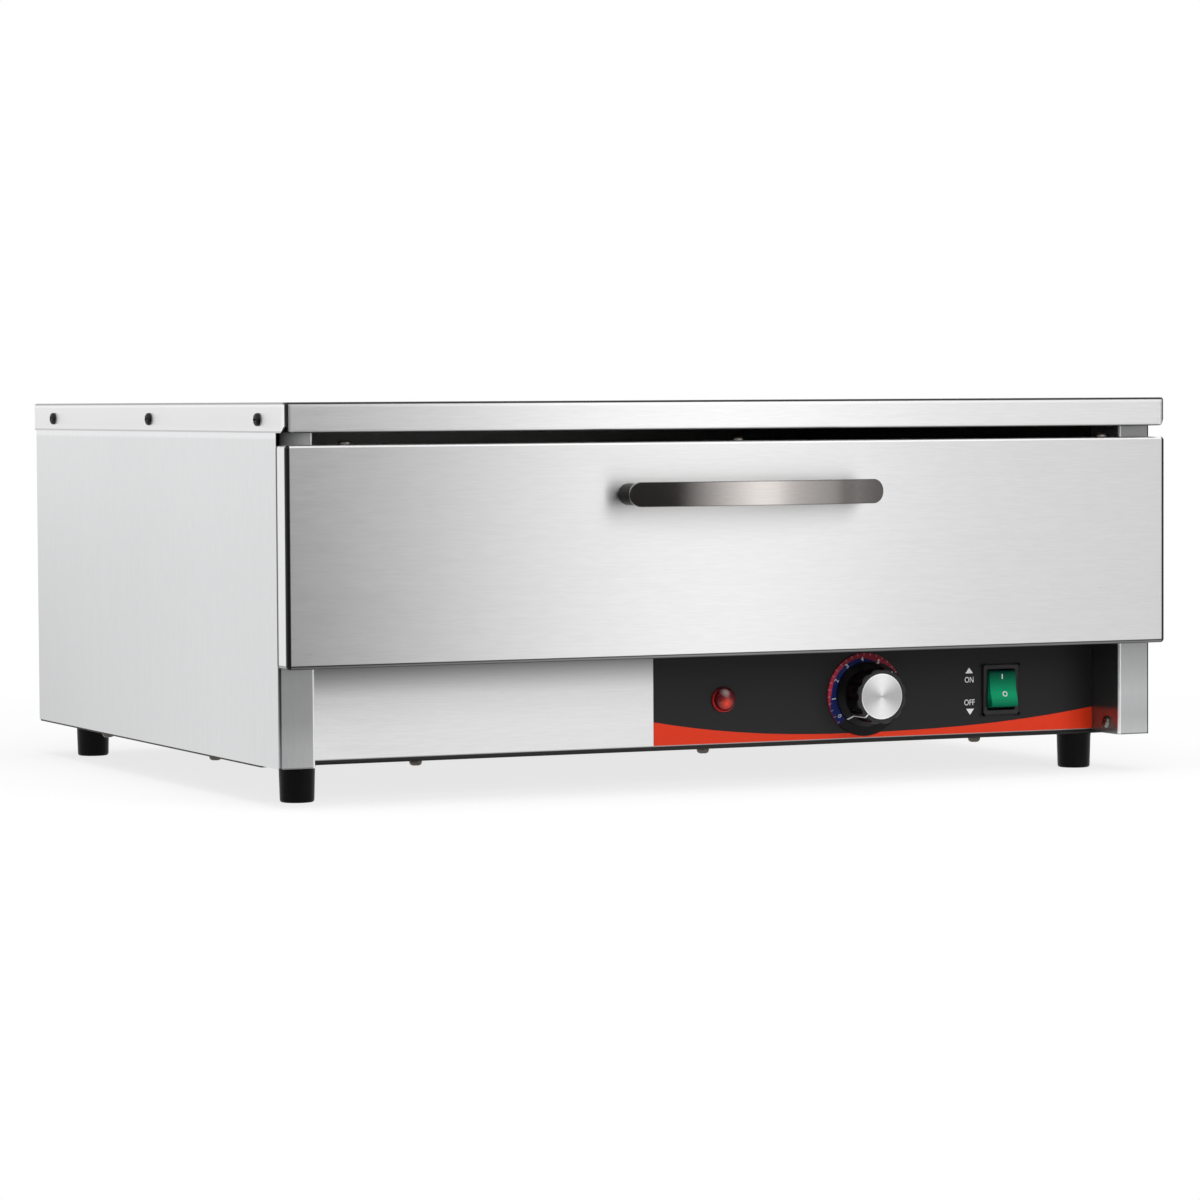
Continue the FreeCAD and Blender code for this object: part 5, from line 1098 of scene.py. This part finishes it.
# With its texture space far off, the sheen of the brushing runs one way over the whole tray.
cap.data.use_auto_texspace = False
cap.data.texspace_location = (0, 400, 0)
dress(cap, cap_steel, "cabinet", "casing_steel", "top_cap")
dark_screw = plain_metal("dark_screw", 0.035, (1, 0.96, 0.9), 0.34, 900)
cap_screw_height = middle_of("cap_screws").z
cap_seats = [((side * cap_high.x, y, cap_screw_height), (side, 0, 0), 15 + 60 * y)
             for side in (-1, 1) for y in CAP_SCREW_LINES]
set_screws("cap_pan_screws", "cap_screws", dark_screw, "dark_screw", "cabinet", cap_seats)


# Studio
# A pale floor that fades to white, soft lamps above, a graded card before the drawer for the steel to
# reflect, and a long lens at the photograph's angle.

def bare_finish(name):
    """A material with no shader yet, its nodes, and its wearer's Object coordinates."""
    finish = bpy.data.materials.new(name)
    finish.use_nodes = True
    tree = finish.node_tree
    tree.nodes.remove(tree.nodes["Principled BSDF"])
    return finish, tree, Shade(tree, tree.nodes.new("ShaderNodeTexCoord").outputs["Object"])


def ray_kinds(tree):
    """Whether a ray comes from the lens, off a glossy face, or through glass."""
    path = tree.nodes.new("ShaderNodeLightPath")
    kinds = ("Is Camera Ray", "Is Glossy Ray", "Is Transmission Ray")
    return [Shade(tree, path.outputs[kind]) for kind in kinds]


LENS_PLACE = Vector((-1.15973, -2.58418, 0.23326))
CARD_LINE = -1.2
CARD_HALF = 3.0
CARD_HEIGHT = 1.3
CARD_BRIGHTEST = 1.5
CARD_STOPS = [
    (-3.0, 0.03), (0.06, 0.03), (0.11, 0.32), (0.28, 1.0), (0.40, 1.38), (0.48, 1.42), (0.66, 0.93),
    (0.85, 0.95), (0.98, 1.0), (1.1, 0.3), (3.0, 0.2),
]


def card_level(across):
    """Brightness along the card: dark on the left, a step, a bright stretch and a slow fall."""
    stops = [((x + CARD_HALF) / (2 * CARD_HALF), level / CARD_BRIGHTEST) for x, level in CARD_STOPS]
    return CARD_BRIGHTEST * across.rise(-CARD_HALF, CARD_HALF).ramp(stops)


scene = bpy.context.scene
scene.view_settings.view_transform = "Standard"
bpy.ops.object.select_all(action="DESELECT")
bpy.ops.mesh.primitive_plane_add(size=12, location=(0, 0, 0))
floor = settle(bpy.context.object, "studio_floor")
pale, tree, spot = bare_finish("studio_floor")
seen, mirrored, through = ray_kinds(tree)
far = spot.node("ShaderNodeVectorMath", {"operation": "LENGTH"}, {0: spot}, "Value")
far = far.rise(0.42, 0.85)
matt = spot.node("ShaderNodeBsdfDiffuse", {}, {"Color": grey(0.9)})
glow = spot.node("ShaderNodeEmission", {}, {"Color": grey(1.0), "Strength": 1.0})
# The drawer front mirrors the floor before it at the same levels as the card behind that floor.
lens_away = front_low.y - LENS_PLACE.y
card_away = (front_low.y - CARD_LINE) / lens_away
floor_away = (front_low.y - spot.along("Y")) / lens_away
met_at = (spot.along("X") + LENS_PLACE.x * floor_away) / (1 + floor_away)
on_card = (1 + card_away) * met_at - card_away * LENS_PLACE.x
in_front = spot.along("Y").rise(-0.1, -0.45)
floor_level = 0.92 * (1 - in_front) + in_front * (0.15 + 0.75 * card_level(on_card))
graded_glow = spot.node("ShaderNodeEmission", {}, {"Color": grey(1.0), "Strength": floor_level})
pale_part = seen.maths("MAXIMUM", seen, through) * (0.78 + 0.22 * far)
lit = spot.node("ShaderNodeMixShader", {}, {0: pale_part, 1: matt, 2: glow})
whole = spot.node("ShaderNodeMixShader", {}, {0: mirrored, 1: lit, 2: graded_glow})
whole.into(tree.nodes["Material Output"], "Surface")
floor.data.materials.append(pale)

bpy.ops.object.select_all(action="DESELECT")
bpy.ops.mesh.primitive_plane_add(size=1, location=(0, 0, 0))
card = bpy.context.object
card.matrix_world = (Matrix.Translation((0, CARD_LINE, CARD_HEIGHT / 2))
                     @ Matrix.Rotation(math.pi / 2, 4, "X")
                     @ Matrix.Diagonal((2 * CARD_HALF, CARD_HEIGHT, 1, 1)))
settle(card, "studio_card")
graded, tree, spot = bare_finish("studio_card")
upper_part = 0.75 * spot.along("Z").rise(0.22, 0.36)
card_glow = spot.maths("MAXIMUM", card_level(spot.along("X")), upper_part)
light = spot.node("ShaderNodeEmission", {}, {"Color": grey(1.0), "Strength": card_glow})
light.into(tree.nodes["Material Output"], "Surface")
card.data.materials.append(graded)
card.visible_camera = False
card.visible_shadow = False
card.visible_diffuse = False

world = bpy.data.worlds.new("studio_air")
scene.world = world
world.use_nodes = True
air = world.node_tree.nodes["Background"]
air.inputs["Color"].default_value = grey(1.0)
seen, mirrored, through = ray_kinds(world.node_tree)
shown = seen.maths("MAXIMUM", seen, seen.maths("MAXIMUM", mirrored, through))
(0.55 + 0.45 * shown).into(air, "Strength")


def soft_lamp(name, at, aim, size, power):
    """A square area lamp that looks at a point."""
    lamp = bpy.data.lights.new(name, "AREA")
    lamp.shape = "SQUARE"
    lamp.size = size
    lamp.energy = power
    holder = bpy.data.objects.new(name, lamp)
    scene.collection.objects.link(holder)
    holder.location = at
    holder.rotation_euler = (Vector(aim) - Vector(at)).to_track_quat("-Z", "Y").to_euler()
    return holder


top_lamp = soft_lamp("top_lamp", (-0.3, -0.5, 1.9), (0, 0, 0.1), 1.6, 26)
top_lamp.visible_glossy = False
soft_lamp("front_lamp", (0.9, -1.9, 0.9), (0, -0.1, 0.1), 1.0, 14)

YAW, PITCH, ROLL = (math.radians(angle) for angle in (24.313, -2.5857, -0.3307))
level_ahead = Vector((math.sin(YAW), math.cos(YAW), 0))
ahead_way = level_ahead * math.cos(PITCH) + Vector((0, 0, math.sin(PITCH)))
level_way = Vector((math.cos(YAW), -math.sin(YAW), 0))
up_way = level_way.cross(ahead_way)
right_way = level_way * math.cos(ROLL) + up_way * math.sin(ROLL)
top_way = up_way * math.cos(ROLL) - level_way * math.sin(ROLL)
lens_data = bpy.data.cameras.new("camera")
lens_data.sensor_width = 36.0
lens_data.lens = 132.65
lens_data.clip_end = 50
camera = bpy.data.objects.new("camera", lens_data)
scene.collection.objects.link(camera)
turned = Matrix((right_way, top_way, -ahead_way)).transposed().to_4x4()
camera.matrix_world = Matrix.Translation(LENS_PLACE) @ turned
scene.camera = camera
